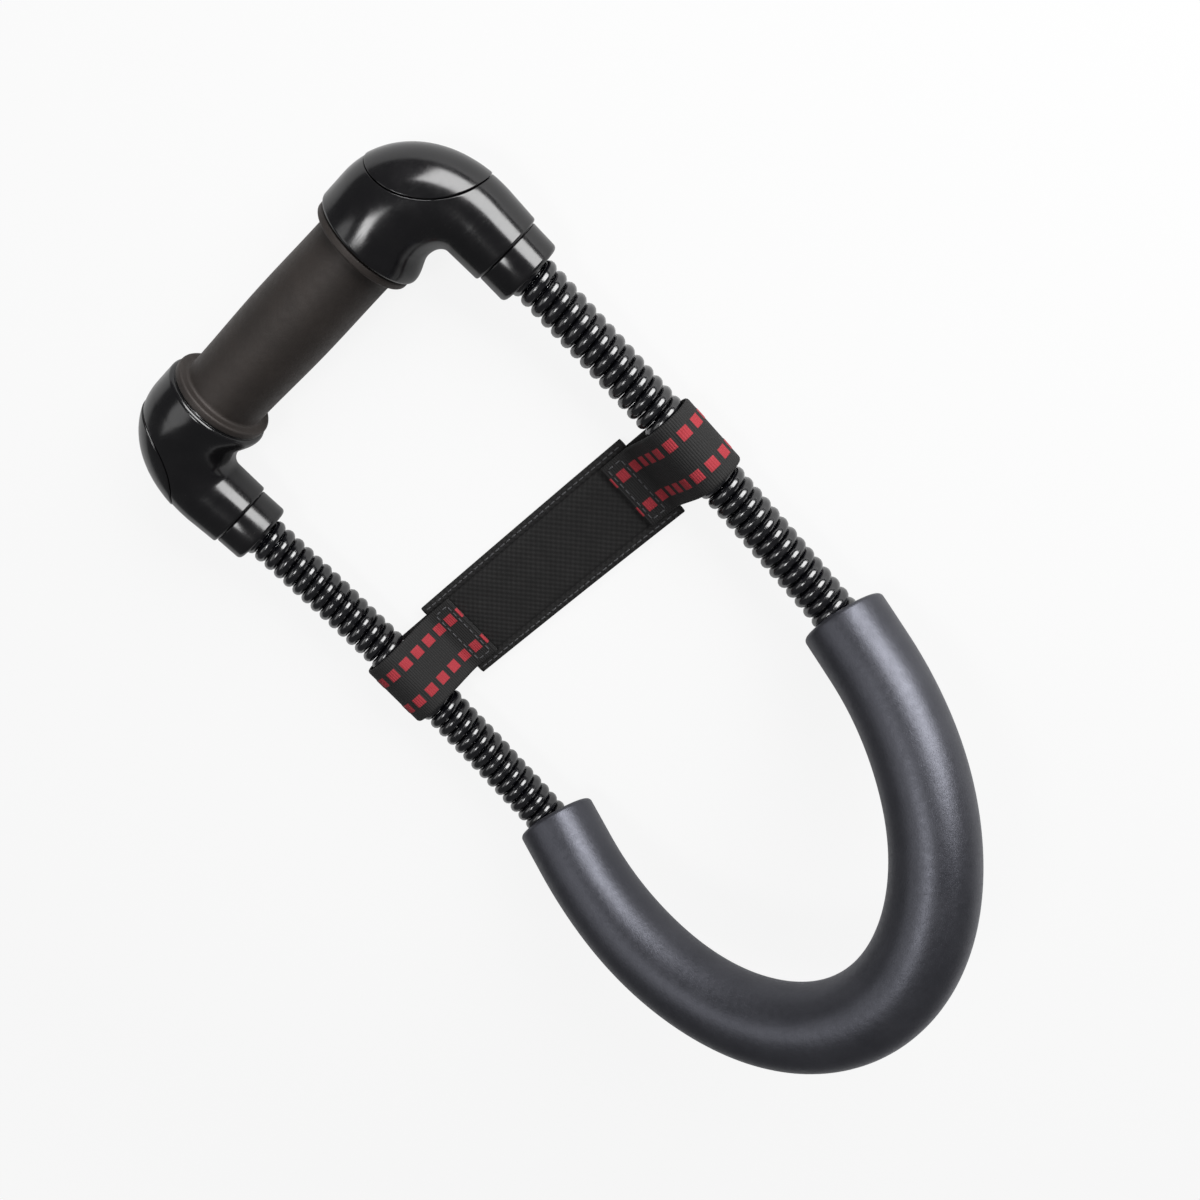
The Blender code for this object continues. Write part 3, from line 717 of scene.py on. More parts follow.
# %% The elbow's path and lengths
COLLAR_LENGTH = 10.5 * MM
CLEARANCE = 0.3 * MM
COLLAR_TO_HANDLE = 43.0 * MM
ELBOW_BEND_RADIUS = 20.0 * MM
RIM_FROM_SPRING = 30.5 * MM
RIM_ROUNDING = 1.5 * MM
SLEEVE_ROUNDING = 0.8 * MM
SLEEVE_START = COLLAR_LENGTH + CLEARANCE
BEND_START = COLLAR_TO_HANDLE - ELBOW_BEND_RADIUS
BEND_LENGTH = ELBOW_BEND_RADIUS * math.pi / 2
BEND_END = BEND_START + BEND_LENGTH
FORM_END = BEND_END + RIM_FROM_SPRING - ELBOW_BEND_RADIUS
RIM_START = FORM_END - RIM_ROUNDING
SLEEVE_EDGE_STEPS = 5
RIM_EDGE_STEPS = 7
ELBOW_STEP = 0.75 * MM


def elbow_turn(along):
    """How far the path has turned, at a length from the collar's face."""
    return min(max(along - BEND_START, 0.0) / ELBOW_BEND_RADIUS, math.pi / 2)


def elbow_centre(along):
    """Centre of the elbow's path at a length from the collar's face."""
    turn = elbow_turn(along)
    x = -ELBOW_BEND_RADIUS * (1 - math.cos(turn)) - max(along - BEND_END, 0.0)
    return np.array((x, min(along, BEND_START) + ELBOW_BEND_RADIUS * math.sin(turn), 0.0))


def edge_steps(rounding, count):
    """Distances into a rounded edge, closer together at its start."""
    return [rounding * (1 - math.cos(math.pi / 2 * i / count)) for i in range(count)]


def form_stations():
    """Lengths along the form, closer together round its two edges."""
    first = SLEEVE_START + SLEEVE_ROUNDING
    count = round((RIM_START - first) / ELBOW_STEP)
    sleeve = [SLEEVE_START + gap for gap in edge_steps(SLEEVE_ROUNDING, SLEEVE_EDGE_STEPS)]
    rim = [FORM_END - gap for gap in edge_steps(RIM_ROUNDING, RIM_EDGE_STEPS)]
    return sleeve + [first + (RIM_START - first) * i / count for i in range(count + 1)] + rim[::-1]


print("the elbow's form has", len(form_stations()), "rings over", round(FORM_END / MM, 1), "mm")

# %% The elbow's section
SLEEVE_END_R = 13.1 * MM
SLEEVE_ROOT_R = 13.5 * MM
ELBOW_RIM_R = 19.0 * MM
INNER_CORNER = 3.6 * MM


def inner_radius(along):
    """The radius on the elbow's inner side: an elliptic corner, then a slow flare to the rim."""
    turn = elbow_turn(along)
    reach = ELBOW_BEND_RADIUS - SLEEVE_ROOT_R
    corner = 1 / math.hypot(math.cos(turn) / reach, math.sin(turn) / INNER_CORNER)
    flare = smoothstep((along - BEND_END) / (RIM_START - BEND_END))
    return ELBOW_BEND_RADIUS - corner + (ELBOW_RIM_R - ELBOW_BEND_RADIUS + corner) * flare


def elbow_radius(along, angles):
    """The elbow's radius at angles round it, with its sleeve and rim edges rounded."""
    if along < BEND_START:
        share = (along - SLEEVE_START) / (BEND_START - SLEEVE_START)
        radius = np.full(len(angles), SLEEVE_END_R + (SLEEVE_ROOT_R - SLEEVE_END_R) * share)
    else:
        growth = ELBOW_RIM_R - SLEEVE_ROOT_R
        beyond = along - BEND_START
        outer = SLEEVE_ROOT_R + growth * smoothstep(beyond / BEND_LENGTH)
        top = SLEEVE_ROOT_R + growth * smoothstep(beyond / (RIM_START - BEND_START))
        inner = inner_radius(along)
        across = (inner + outer) / 2
        radius = (across + top) / 2 + (inner - outer) / 2 * np.cos(angles)
        radius = radius + (across - top) / 2 * np.cos(2 * angles)
    for edge, rounding in ((SLEEVE_START, SLEEVE_ROUNDING), (FORM_END, RIM_ROUNDING)):
        gap = abs(along - edge)
        if gap < rounding:
            radius = radius - rounding + math.sqrt(rounding ** 2 - (rounding - gap) ** 2)
    return radius


def elbow_points(along, angles, radius=None):
    """Points round the elbow. Angle 0 is its inner side, and half a turn its outer side."""
    turn = elbow_turn(along)
    outward = np.array((math.cos(turn), math.sin(turn), 0.0))
    angles = np.asarray(angles)
    radius = elbow_radius(along, angles) if radius is None else np.full(len(angles), radius)
    return elbow_centre(along) + radius[:, None] * spokes(angles, -outward, Z_AXIS)


print("rim radius, mm:", round(float(elbow_radius(RIM_START, full_turn(4)).max()) / MM, 2))

# %% Rings of the elbow, with its bores
SPRING_BORE_R = 8.55 * MM
PLUG_BORE_R = 6.3 * MM
SOCKET_END = 16.3 * MM
PLUG_BORE_END = 30.6 * MM
HANDLE_BORE_R = 8.3 * MM
HANDLE_SOCKET = 14.0 * MM
ELBOW_SIDES = 112
NOT_ON_FORM = -1.0


def form_rows(angles):
    """Each ring's length along the form and its points. The bores' rings are not on the form."""
    spring_bore = [(PLUG_BORE_END, PLUG_BORE_R), (SOCKET_END, PLUG_BORE_R), (SOCKET_END, SPRING_BORE_R),
                   (SLEEVE_START, SPRING_BORE_R)]
    rows = [(NOT_ON_FORM, elbow_points(0.0, angles, radius) + depth * Y_AXIS)
            for depth, radius in spring_bore]
    rows += [(along, elbow_points(along, angles)) for along in form_stations()]
    rows += [(NOT_ON_FORM, elbow_points(FORM_END, angles, HANDLE_BORE_R) + depth * X_AXIS)
             for depth in (0.0, HANDLE_SOCKET)]
    return rows


def form_mesh():
    """The elbow's form as a bmesh, whose vertices know their length along it and angle round it."""
    bm = bmesh.new()
    along_layer = bm.verts.layers.float.new("along")
    angle_layer = bm.verts.layers.float.new("angle")
    angles = full_turn(ELBOW_SIDES)
    rows = form_rows(angles)
    made = []
    for along, points in rows:
        for point, angle in zip(points, angles):
            vertex = bm.verts.new(point)
            vertex[along_layer] = along
            vertex[angle_layer] = angle
            made.append(vertex)
    for face in stack_faces(len(rows), ELBOW_SIDES):
        bm.faces.new([made[i] for i in face])
    bmesh.ops.recalc_face_normals(bm, faces=bm.faces)
    return bm, along_layer, angle_layer


print("rings with bores:", len(form_rows(full_turn(ELBOW_SIDES))))

# %% Cutting along the seam
SEAM_RADIUS = 31.12 * MM
SEAM_X = 20.0 * MM
SEAM_Y = COLLAR_TO_HANDLE + 17.0 * MM
CUT_TOLERANCE = 1e-7
SMALL_STEP = 0.01 * MM
SMALL_ANGLE = 0.001


def cut_form(distances):
    """The form cut along circles at these distances from the seam, as a bmesh.

    With the vertices in polar coordinates round the seam's axis, each circle is a plane.
    """
    bm, along_layer, angle_layer = form_mesh()
    for vertex in bm.verts:
        dx, dy = vertex.co.x - SEAM_X, vertex.co.y - SEAM_Y
        vertex.co = Vector((math.hypot(dx, dy), math.atan2(dy, dx), vertex.co.z))
    old = set(bm.verts)
    for distance in distances:
        bmesh.ops.bisect_plane(bm, geom=bm.verts[:] + bm.edges[:] + bm.faces[:], dist=CUT_TOLERANCE,
                               plane_co=(SEAM_RADIUS + distance, 0, 0), plane_no=(1, 0, 0))
    for vertex in bm.verts:
        if vertex in old:
            reach, turn, z = vertex.co
            vertex.co = Vector((SEAM_X + reach * math.cos(turn), SEAM_Y + reach * math.sin(turn), z))
        else:
            vertex.co = Vector(elbow_points(vertex[along_layer], [vertex[angle_layer]])[0])
    return bm, along_layer, angle_layer


def elbow_normals(places):
    """Normals of the form, from small steps along it and round it."""
    normals = np.zeros((len(places), 3))
    for i, (along, angle) in enumerate(places):
        before, after = [elbow_points(along + s, [angle])[0] for s in (-SMALL_STEP, SMALL_STEP)]
        right, left = [elbow_points(along, [angle + s])[0] for s in (-SMALL_ANGLE, SMALL_ANGLE)]
        normal = np.cross(left - right, after - before)
        normals[i] = normal / np.linalg.norm(normal)
    return normals


# %% Elbow body and corner cap
SEAM_HALF_GAP = 0.12 * MM
SEAM_ROUNDING = 0.35 * MM
EDGE_STEPS = (0.0, 0.25, 0.6, 1.0)
SEAT_EDGE = 0.6 * SEAM_HALF_GAP
SEAT_LIMIT = 0.8 * SEAM_HALF_GAP
CAP_LIMIT = 0.9 * SEAM_HALF_GAP
CAP_PROUD = 0.35 * MM
CAP_WALL = 2.2 * MM


def edge_dip(gap):
    """How deep a rounded edge lies, at a gap from the cut."""
    left = np.clip(SEAM_ROUNDING - gap, 0.0, SEAM_ROUNDING)
    return SEAM_ROUNDING - np.sqrt(SEAM_ROUNDING ** 2 - left ** 2)


def seam_form(side_of_seam, more_cuts=()):
    """The form cut for a rounded edge, outside the seam's circle with 1 and inside it with -1.

    It comes with its vertices' points, normals, distances from the seam and whether each is on the form.
    """
    lines = [side_of_seam * (SEAM_HALF_GAP + SEAM_ROUNDING * share) for share in EDGE_STEPS]
    bm, along_layer, angle_layer = cut_form(lines + list(more_cuts))
    bm.verts.ensure_lookup_table()
    points = np.array([v.co for v in bm.verts])
    places = np.array([(v[along_layer], v[angle_layer]) for v in bm.verts])
    on_form = places[:, 0] > 0
    normals = np.zeros((len(points), 3))
    normals[on_form] = elbow_normals(places[on_form])
    distance = np.hypot(points[:, 0] - SEAM_X, points[:, 1] - SEAM_Y) - SEAM_RADIUS
    return bm, points, normals, distance, on_form


def build_elbow_body():
    """The elbow's body, with a step down to the seat on which the corner cap lies."""
    bm, points, normals, distance, on_form = seam_form(1, [SEAT_EDGE])
    depth = np.where(distance < SEAT_LIMIT, CAP_WALL + CLEARANCE, edge_dip(distance - SEAM_HALF_GAP))
    depth[~on_form] = 0.0
    faces = [tuple(v.index for v in face.verts) for face in bm.faces]
    bm.free()
    return points - normals * depth[:, None], faces, normals, on_form & (depth == 0)


def build_corner_cap():
    """The shell over the elbow's outer corner, with a wall inside."""
    bm, points, normals, distance, on_form = seam_form(-1)
    keep = on_form & (distance < -CAP_LIMIT)
    dip = edge_dip(-distance - SEAM_HALF_GAP)
    outer = points + normals * (CAP_PROUD - dip)[:, None]
    inner = points - normals * CAP_WALL
    loops = [[v.index for v in face.verts] for face in bm.faces]
    loops = [loop for loop in loops if all(keep[i] for i in loop)]
    bm.free()
    used = sorted({i for loop in loops for i in loop})
    count = len(used)
    renumber = {old: new for new, old in enumerate(used)}
    loops = [[renumber[i] for i in loop] for loop in loops]
    edges = [edge for loop in loops for edge in zip(loop, loop[1:] + loop[:1])]
    both_ways = set(edges)
    faces = [tuple(loop) for loop in loops]
    faces += [tuple(count + i for i in reversed(loop)) for loop in loops]
    faces += [(b, a, count + a, count + b) for a, b in edges if (b, a) not in both_ways]
    plain = np.concatenate([dip[used] == 0, np.ones(count, bool)])
    return (np.concatenate([outer[used], inner[used]]), faces,
            np.concatenate([normals[used], -normals[used]]), plain)


ELBOW_FORMS = {
    # piece: the node that it replaces, and its points, faces, normals and where the form is plain
    "_elbow_shell": ("_elbow_body", build_elbow_body()),
    "_elbow_cover": ("_corner_cap", build_corner_cap()),
}
print("faces of body and cap:", [len(form[1]) for _, form in ELBOW_FORMS.values()])

# %% Place the elbows
def place_elbow_piece(name, node, sign, points, faces, normals, plain):
    """Place a piece of the elbow on its side, with its exact normals where the form is smooth."""
    mirror = np.array((sign, 1.0, 1.0))
    moved = points * mirror + sign * HALF_SPACING * X_AXIS
    piece = new_piece(name, placed(moved, collar_frame), faces)
    flat = settle_on_table(piece)
    exact = (normals * mirror) @ np.array(collar_frame)[:3, :3].T
    normals_now = np.array([v.vector for v in piece.data.vertex_normals])
    set_normals(piece, np.where((plain & ~flat)[:, None], exact, normals_now))
    keep_places(piece, moved / MM)
    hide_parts(node)
    return piece


elbow_pieces = [place_elbow_piece(side + ending, side + node, sign, *form)
                for side, sign in SIDES.items() for ending, (node, form) in ELBOW_FORMS.items()]
print("elbow pieces:", ", ".join(piece.name for piece in elbow_pieces))

# %% [markdown]
# ## Collars
# A plain moulded ring closes each elbow's sleeve round the spring. It is turned, like on a lathe,
# from a profile with a soft edge towards the spring.

# %% Collar rings
COLLAR_R = 12.0 * MM
COLLAR_ROUNDING = 1.5 * MM
COLLAR_BACK_ROUNDING = 0.4 * MM
TURNED_SIDES = 96
SHARP_ANGLE = math.radians(35.0)


def arc(centre, radius, start, end, steps):
    """Points of a profile round a corner. Angles in degrees, from the first axis to the second."""
    angles = [math.radians(start + (end - start) * i / steps) for i in range(steps + 1)]
    return [(centre[0] + radius * math.cos(a), centre[1] + radius * math.sin(a)) for a in angles]


def turned_rings(profile, centre, axis):
    """Rings of (radius, distance along the axis) points turned about a level axis."""
    out = spokes(full_turn(TURNED_SIDES), Z_AXIS, np.cross(axis, Z_AXIS))
    return np.array([centre + along * axis + radius * out for radius, along in profile])


def build_collar(side, sign):
    profile = [(SPRING_BORE_R, COLLAR_LENGTH), (SPRING_BORE_R, COLLAR_BACK_ROUNDING),
               (SPRING_BORE_R + COLLAR_BACK_ROUNDING, 0.0)]
    profile += arc((COLLAR_R - COLLAR_ROUNDING, COLLAR_ROUNDING), COLLAR_ROUNDING, -90, 0, 8)
    back = (COLLAR_R - COLLAR_BACK_ROUNDING, COLLAR_LENGTH - COLLAR_BACK_ROUNDING)
    profile += arc(back, COLLAR_BACK_ROUNDING, 0, 90, 4)
    rings = turned_rings(profile, sign * HALF_SPACING * X_AXIS, Y_AXIS)
    piece = piece_in_frame(side + "_collar", rings, collar_frame, closed=True)
    piece.data.set_sharp_from_angle(angle=SHARP_ANGLE)
    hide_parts(side + "_collar_ring")
    return piece


elbow_pieces += [build_collar(side, sign) for side, sign in SIDES.items()]
print("pieces in glossy plastic:", len(elbow_pieces))

# %% [markdown]
# ## Glossy plastic
# Moulded plastic is smooth but never perfect: a faint waviness bends the reflections, and handling
# leaves fine scuffs that only change the roughness.

# %% Elbow plastic
def moulded_plastic():
    material, tree, shader = new_material("moulded_plastic")
    place = place_node(tree)
    waves = noise(tree, place, 0.07, 1.0)
    scuffs = noise(tree, place_node(tree, (0.25, 1.6, 1.0)), 1.1, 5.0, 0.7)
    smears = noise(tree, place, 0.12, 3.0)
    gloss = between(tree, scuffs, 0.0, 0.10, 0.52, 0.75)
    gloss = math_node(tree, "ADD", gloss, between(tree, smears, 0.15, 0.22, 0.35, 0.7))
    colour = ramp(tree, smears, (0.0025, 0.0025, 0.003, 1), (0.006, 0.0055, 0.006, 1))
    normal = bump(tree, waves, 0.10 * MM, 0.5)
    finish_with(tree, shader, Base_Color=colour, Roughness=gloss, Normal=normal, IOR=1.6)
    return material


plastic = moulded_plastic()
for piece in elbow_pieces:
    piece.data.materials.append(plastic)
    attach(piece, "handle")
print("plastic has", len(plastic.node_tree.nodes), "nodes")

# %% [markdown]
# ## Handle grip
# A foam grip with a flange at each end fills the handle between the elbows. The photograph hides its
# middle, so it is plain: a slightly barrelled tube. Turned profiles suit it as well.

# %% Grip
GRIP_END = 40.2 * MM
GRIP_R = 15.0 * MM
GRIP_WAIST = 0.5 * MM
GRIP_FLANGE_R = 18.0 * MM
GRIP_FLANGE_WIDTH = 3.0 * MM
FLANGE_ROUNDING = 0.9 * MM
FLANGE_FILLET = 1.2 * MM
FLANGE_STEPS = 6
GRIP_BORE_R = 8.3 * MM
GRIP_STEPS = 40
WARM_BLACK = ((0.010, 0.008, 0.007, 1), (0.019, 0.015, 0.013, 1))
WARM_GREY = (1.0, 0.93, 0.90, 1)


def grip_half():
    """Half of the grip's profile, from its end face inwards to the middle."""
    far = GRIP_END - FLANGE_ROUNDING
    near = GRIP_END - GRIP_FLANGE_WIDTH + FLANGE_ROUNDING
    root = GRIP_END - GRIP_FLANGE_WIDTH - FLANGE_FILLET
    body_r = GRIP_R - GRIP_WAIST
    points = [(GRIP_BORE_R, GRIP_END)]
    points += arc((GRIP_FLANGE_R - FLANGE_ROUNDING, far), FLANGE_ROUNDING, 90, 0, FLANGE_STEPS)
    points += arc((GRIP_FLANGE_R - FLANGE_ROUNDING, near), FLANGE_ROUNDING, 0, -90, FLANGE_STEPS)
    points += arc((body_r + FLANGE_FILLET, root), FLANGE_FILLET, 90, 180, FLANGE_STEPS)
    for i in range(1, GRIP_STEPS + 1):
        share = i / GRIP_STEPS
        points.append((body_r + GRIP_WAIST * smoothstep(share), root * (1 - share)))
    return points


half = grip_half()
profile = [(r, -x) for r, x in half] + half[-2::-1]
grip = piece_in_frame("grip_cover", turned_rings(profile, COLLAR_TO_HANDLE * Y_AXIS, X_AXIS),
                      collar_frame, closed=True)
grip.data.materials.append(foam_skin("grip_foam", WARM_BLACK, WARM_GREY, (0.50, 0.66), 0.5))
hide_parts("handle_grip")
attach(grip, "handle")
print("grip:", len(grip.data.vertices), "vertices")

# %% [markdown]
# ## Wrist band
# The band across the wrist is a thin padded strip between two bound edges. It is only 2.4 mm thick,
# too thin for a voxel remesh and a cloth run, so its puffed section is drawn directly: the padding
# swells between the bindings, and sewn lines across it pull it down near the webbing.

# %% The band's thickness
BAND_HALF = 51.7 * MM
BAND_JOIN = 52.0 * MM
BAND_THICKNESS = 2.4 * MM
BAND_DROP = 7.8 * MM
BAND_SAG = 1.0 * MM
BINDING_WIDTH = 3.6 * MM
GROOVE_WIDTH = 0.45 * MM
PADDING_RISE = 6 * MM
TAIL_LENGTH = 12.0 * MM
# shares of the band's thickness
BINDING_EDGE = 0.35
BINDING_TOP = 0.95
PADDING_EDGE = 0.72
PULLED_DOWN = 0.80
GROOVE_DEPTH = 0.30


def band_height(x):
    """The band's middle line below the springs' axes: it hangs a little lower in the middle."""
    return -BAND_DROP - BAND_SAG * (1 - (x / BAND_JOIN) ** 2)


def rounded(share, least=0.0):
    """A rise like a quarter of a circle, from 0 at the edge to 1. It can start a little up."""
    return np.sqrt(np.clip(1 - (1 - np.minimum(share, 1.0)) ** 2, least, 1))


def band_half_thickness(x, edge):
    """Half the band's thickness at distances from its edge: bound edges, a groove, then the padding."""
    binding = BINDING_EDGE + (BINDING_TOP - BINDING_EDGE) * rounded(edge / (BINDING_WIDTH / 2))
    padding = PADDING_EDGE + (1 - PADDING_EDGE) * rounded((edge - BINDING_WIDTH) / PADDING_RISE)
    near_tail = BAND_HALF - TAIL_LENGTH - abs(x)
    pulled = PULLED_DOWN + (1 - PULLED_DOWN) * smoothstep(near_tail / PADDING_RISE)
    share = np.where(edge < BINDING_WIDTH, binding, padding * pulled)
    groove = GROOVE_DEPTH * np.exp(-((edge - BINDING_WIDTH) / GROOVE_WIDTH) ** 2)
    return BAND_THICKNESS / 2 * (share - groove)


# %% Build the band
BAND_WIDTH = 34.0 * MM
BAND_STEP = 0.8 * MM
# distances from the band's edge at which its section has points, closer together at the binding
EDGE_DISTANCES = [0, 0.1, 0.3, 0.6, 1.0, 1.5, 2.1, 2.7, 3.1, 3.4, 3.6, 3.8, 4.1, 4.6, 5.4, 6.4, 7.6, 9.0,
                  10.6, 12.4, 14.6, 17.0]
# a strip's section runs along its upper face and back along its lower one
FACES = ((1, slice(None)), (-1, slice(None, None, -1)))


def build_band():
    distances = np.array(EDGE_DISTANCES) * MM
    edge = np.concatenate([distances, distances[-2::-1]])
    across = np.concatenate([distances - BAND_WIDTH / 2, BAND_WIDTH / 2 - distances[-2::-1]])
    count = round(BAND_HALF / BAND_STEP) * 2
    rings, places = [], []
    for x in BAND_HALF * np.linspace(-1, 1, count + 1):
        half = band_half_thickness(x, edge)
        ring = []
        for face, order in FACES:
            ring += [(x, y, band_height(x) + face * h) for y, h in zip(across[order], half[order])]
            places += [(y / MM, x / MM, face) for y in across[order]]
        rings.append(ring)
    return piece_in_frame("wrist_pad", rings, strap_frame, places)


band = build_band()
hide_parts("wrist_band")
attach(band, "strap")
print("wrist band:", len(band.data.vertices), "vertices")

# %% [markdown]
# ## Webbing loops
# A length of 27 mm webbing is sewn to the top of the band, runs over the spring, round its outer side
# and back under the band. Webbing is stiff and keeps its width, so it is laid along its path in code,
# as thin cloth with two faces. The path turns softly where it leaves the band.

# %% Webbing path
STRAP_WIDTH = 27.0 * MM
STRAP_THICKNESS = 1.5 * MM
LOOP_SLACK = 0.9 * MM
LOOP_RADIUS = SPRING_R + LOOP_SLACK + STRAP_THICKNESS / 2
LOOP_LIFT = LOOP_SLACK - CLEARANCE
LOOP_STEPS = 60
TAIL_HEIGHT = (BAND_THICKNESS + STRAP_THICKNESS) / 2 + CLEARANCE
WEB_STEP = 0.45 * MM
ROUNDS_OF_SOFTENING = 30


def tangent_angle(point, turn):
    """Where the webbing from a point meets the loop round the spring, on its upper or lower side."""
    dx, dz = point[0] - HALF_SPACING, point[1] - LOOP_LIFT
    towards = math.atan2(dz, dx)
    if towards > 0:
        towards -= 2 * math.pi
    opening = math.acos(LOOP_RADIUS / math.hypot(dx, dz))
    if turn > 0:
        return towards + 2 * math.pi - opening
    return towards + opening


def webbing_corners():
    """The webbing's path as corners: tail on the band, round the spring, tail under the band."""
    xs = (BAND_JOIN - TAIL_LENGTH, BAND_JOIN)
    top = [(x, band_height(x) + TAIL_HEIGHT) for x in xs]
    low = [(x, band_height(x) - TAIL_HEIGHT) for x in reversed(xs)]
    angles = np.linspace(tangent_angle(top[1], 1), tangent_angle(low[0], -1), LOOP_STEPS)
    loop = [(HALF_SPACING + LOOP_RADIUS * math.cos(a), LOOP_LIFT + LOOP_RADIUS * math.sin(a))
            for a in angles]
    return np.array(top + loop + low)


def even_path(corners, step):
    """The same path with its points a step apart."""
    lengths = np.concatenate([[0.0], np.cumsum(np.linalg.norm(np.diff(corners, axis=0), axis=1))])
    at = np.linspace(0.0, lengths[-1], round(lengths[-1] / step) + 1)
    return np.stack([np.interp(at, lengths, corners[:, k]) for k in range(2)], axis=1)


def webbing_path():
    path = even_path(webbing_corners(), WEB_STEP)
    for _ in range(ROUNDS_OF_SOFTENING):
        path[1:-1] = (path[:-2] + path[2:]) / 4 + path[1:-1] / 2
    return even_path(path, WEB_STEP)


web_path = webbing_path()

# %% [markdown]
# ## Dashes, ribs and stitches
# Two rows of red dashes are woven into the webbing. Each dash stands up a little from the black
# ground, so it is real relief in the mesh as well as colour. The rows' places are shared by the mesh
# and the material. The tails are sewn down with a rectangle of lock stitches, and a row of stitches
# runs along each binding of the band, all in dark grey thread. Each stitch is a short thread of its
# own, because a bump would leave its outline flat.

# %% Webbing mesh
DASH_ROW = 6.8 * MM
DASH_WIDTH = 4.0 * MM
DASH_LENGTH = 3.9 * MM
DASH_PITCH = 6.2 * MM
DASH_SLOPE = 0.35 * MM
FIRST_GAP = 1.9 * MM
DASH_RISE = 0.14 * MM
EDGE_ROLL = 0.9 * MM
EDGE_START = 0.12
WEB_ACROSS_STEP = 0.45 * MM


def dash_relief(across, along):
    """How far the webbing rises at a place: one on a dash, zero beside it."""
    off_row = np.abs(np.abs(across) - DASH_ROW)
    off_dash = np.abs((along / DASH_PITCH) % 1.0 - 0.5) * DASH_PITCH
    over_width = smoothstep((DASH_WIDTH / 2 - off_row) / DASH_SLOPE + 0.5)
    over_length = smoothstep((DASH_LENGTH / 2 - off_dash) / DASH_SLOPE + 0.5)
    return over_width * over_length


def webbing_rings(sign):
    """Rings round the webbing's section, and each point's place: across, along, and its face."""
    count = round(STRAP_WIDTH / 2 / WEB_ACROSS_STEP) * 2
    across = STRAP_WIDTH / 2 * np.linspace(-1, 1, count + 1)
    roll = rounded((STRAP_WIDTH / 2 - np.abs(across)) / EDGE_ROLL, EDGE_START)
    half = (STRAP_THICKNESS / 2 - DASH_RISE) * roll
    course = np.gradient(web_path, axis=0)
    course /= np.linalg.norm(course, axis=1, keepdims=True)
    rings, places = [], []
    for i, (x, z) in enumerate(web_path):
        along = i * WEB_STEP - FIRST_GAP
        thick = half + DASH_RISE * dash_relief(across, along)
        ring = []
        for face, order in FACES:
            rise = face * thick[order]
            xs, zs = x - course[i, 1] * rise, z + course[i, 0] * rise
            ring.append(np.stack([sign * xs, across[order], zs], axis=1))
            places += [(y / MM, along / MM, face) for y in across[order]]
        rings.append(np.concatenate(ring))
    return rings, places


def build_webbing(side, sign):
    rings, places = webbing_rings(sign)
    piece = piece_in_frame(side + "_webbing", rings, strap_frame, places)
    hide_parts(side + "_strap_loop")
    return piece


webbing = {side: build_webbing(side, sign) for side, sign in SIDES.items()}
print("webbing:", len(webbing["left"].data.vertices), "vertices a side")

# %% Stitch thread
STITCH_LENGTH = 2.3 * MM
STITCH_PITCH = 2.9 * MM
STITCH_R = 0.24 * MM
STITCH_END = 0.06
STITCH_SINK = 0.10 * MM
STITCH_DIVE = 0.25 * MM
STITCH_SIDES = 8
STITCH_STATIONS = 9


def stitch_row(start, end):
    """Middles and direction of the stitches between two points."""
    start, end = np.array(start), np.array(end)
    length = np.linalg.norm(end - start)
    count = round(length / STITCH_PITCH)
    return [(start + (end - start) * (i + 0.5) / count, (end - start) / length) for i in range(count)]


def thread_piece(name, seats):
    """Stitches as one piece. Each is a short thread that lies on its seat and dives in at both ends."""
    verts, faces, places = [], [], []
    angles = full_turn(STITCH_SIDES)
    for middle, course, outward in seats:
        base = len(verts)
        faces += [tuple(base + i for i in face) for face in stack_faces(STITCH_STATIONS, STITCH_SIDES)]
        for share in np.linspace(-1, 1, STITCH_STATIONS):
            radius = STITCH_R * math.sqrt(max(1 - share ** 4, STITCH_END))
            lift = STITCH_R - STITCH_SINK - STITCH_DIVE * share ** 2
            centre = middle + course * share * STITCH_LENGTH / 2 + outward * lift
            verts += list(centre + radius * spokes(angles, np.cross(course, outward), outward))
            places += [(share * STITCH_LENGTH / 2 / MM, angle, 0) for angle in angles]
    piece = new_piece(name, placed(verts, strap_frame), faces)
    keep_places(piece, places)
    return piece


# %% Rows of stitches
# the cross rows lie in the gap before the first dash and in the next gap
TAIL_STITCH_INSET = FIRST_GAP
BAND_STITCH_INSET = BINDING_WIDTH / 2


def tail_stitches(side, sign):
    """A rectangle of stitches through the upper tail, its two cross rows in the gaps between dashes."""
    inner = BAND_JOIN - TAIL_LENGTH + TAIL_STITCH_INSET
    outer = inner + DASH_PITCH
    half = STRAP_WIDTH / 2 - TAIL_STITCH_INSET
    face = TAIL_HEIGHT + STRAP_THICKNESS / 2 - DASH_RISE
    corners = [(inner, -half), (inner, half), (outer, half), (outer, -half)]
    corners = [(sign * x, y, band_height(x) + face) for x, y in corners]
    seats = []
    for start, end in zip(corners, corners[1:] + corners[:1]):
        seats += [(middle, course, Z_AXIS) for middle, course in stitch_row(start, end)]
    return thread_piece(side + "_tail_stitches", seats)


def binding_stitches():
    """A row of stitches along each binding, on both faces of the band."""
    reach = BAND_HALF - STITCH_LENGTH / 2
    half = float(band_half_thickness(0.0, np.array([BAND_STITCH_INSET]))[0])
    seats = []
    for face in (1, -1):
        for y in (BAND_WIDTH / 2 - BAND_STITCH_INSET, BAND_STITCH_INSET - BAND_WIDTH / 2):
            for middle, course in stitch_row((-reach, y, 0.0), (reach, y, 0.0)):
                middle[2] = band_height(middle[0]) + face * half
                seats.append((middle, course, face * Z_AXIS))
    return thread_piece("band_stitches", seats)


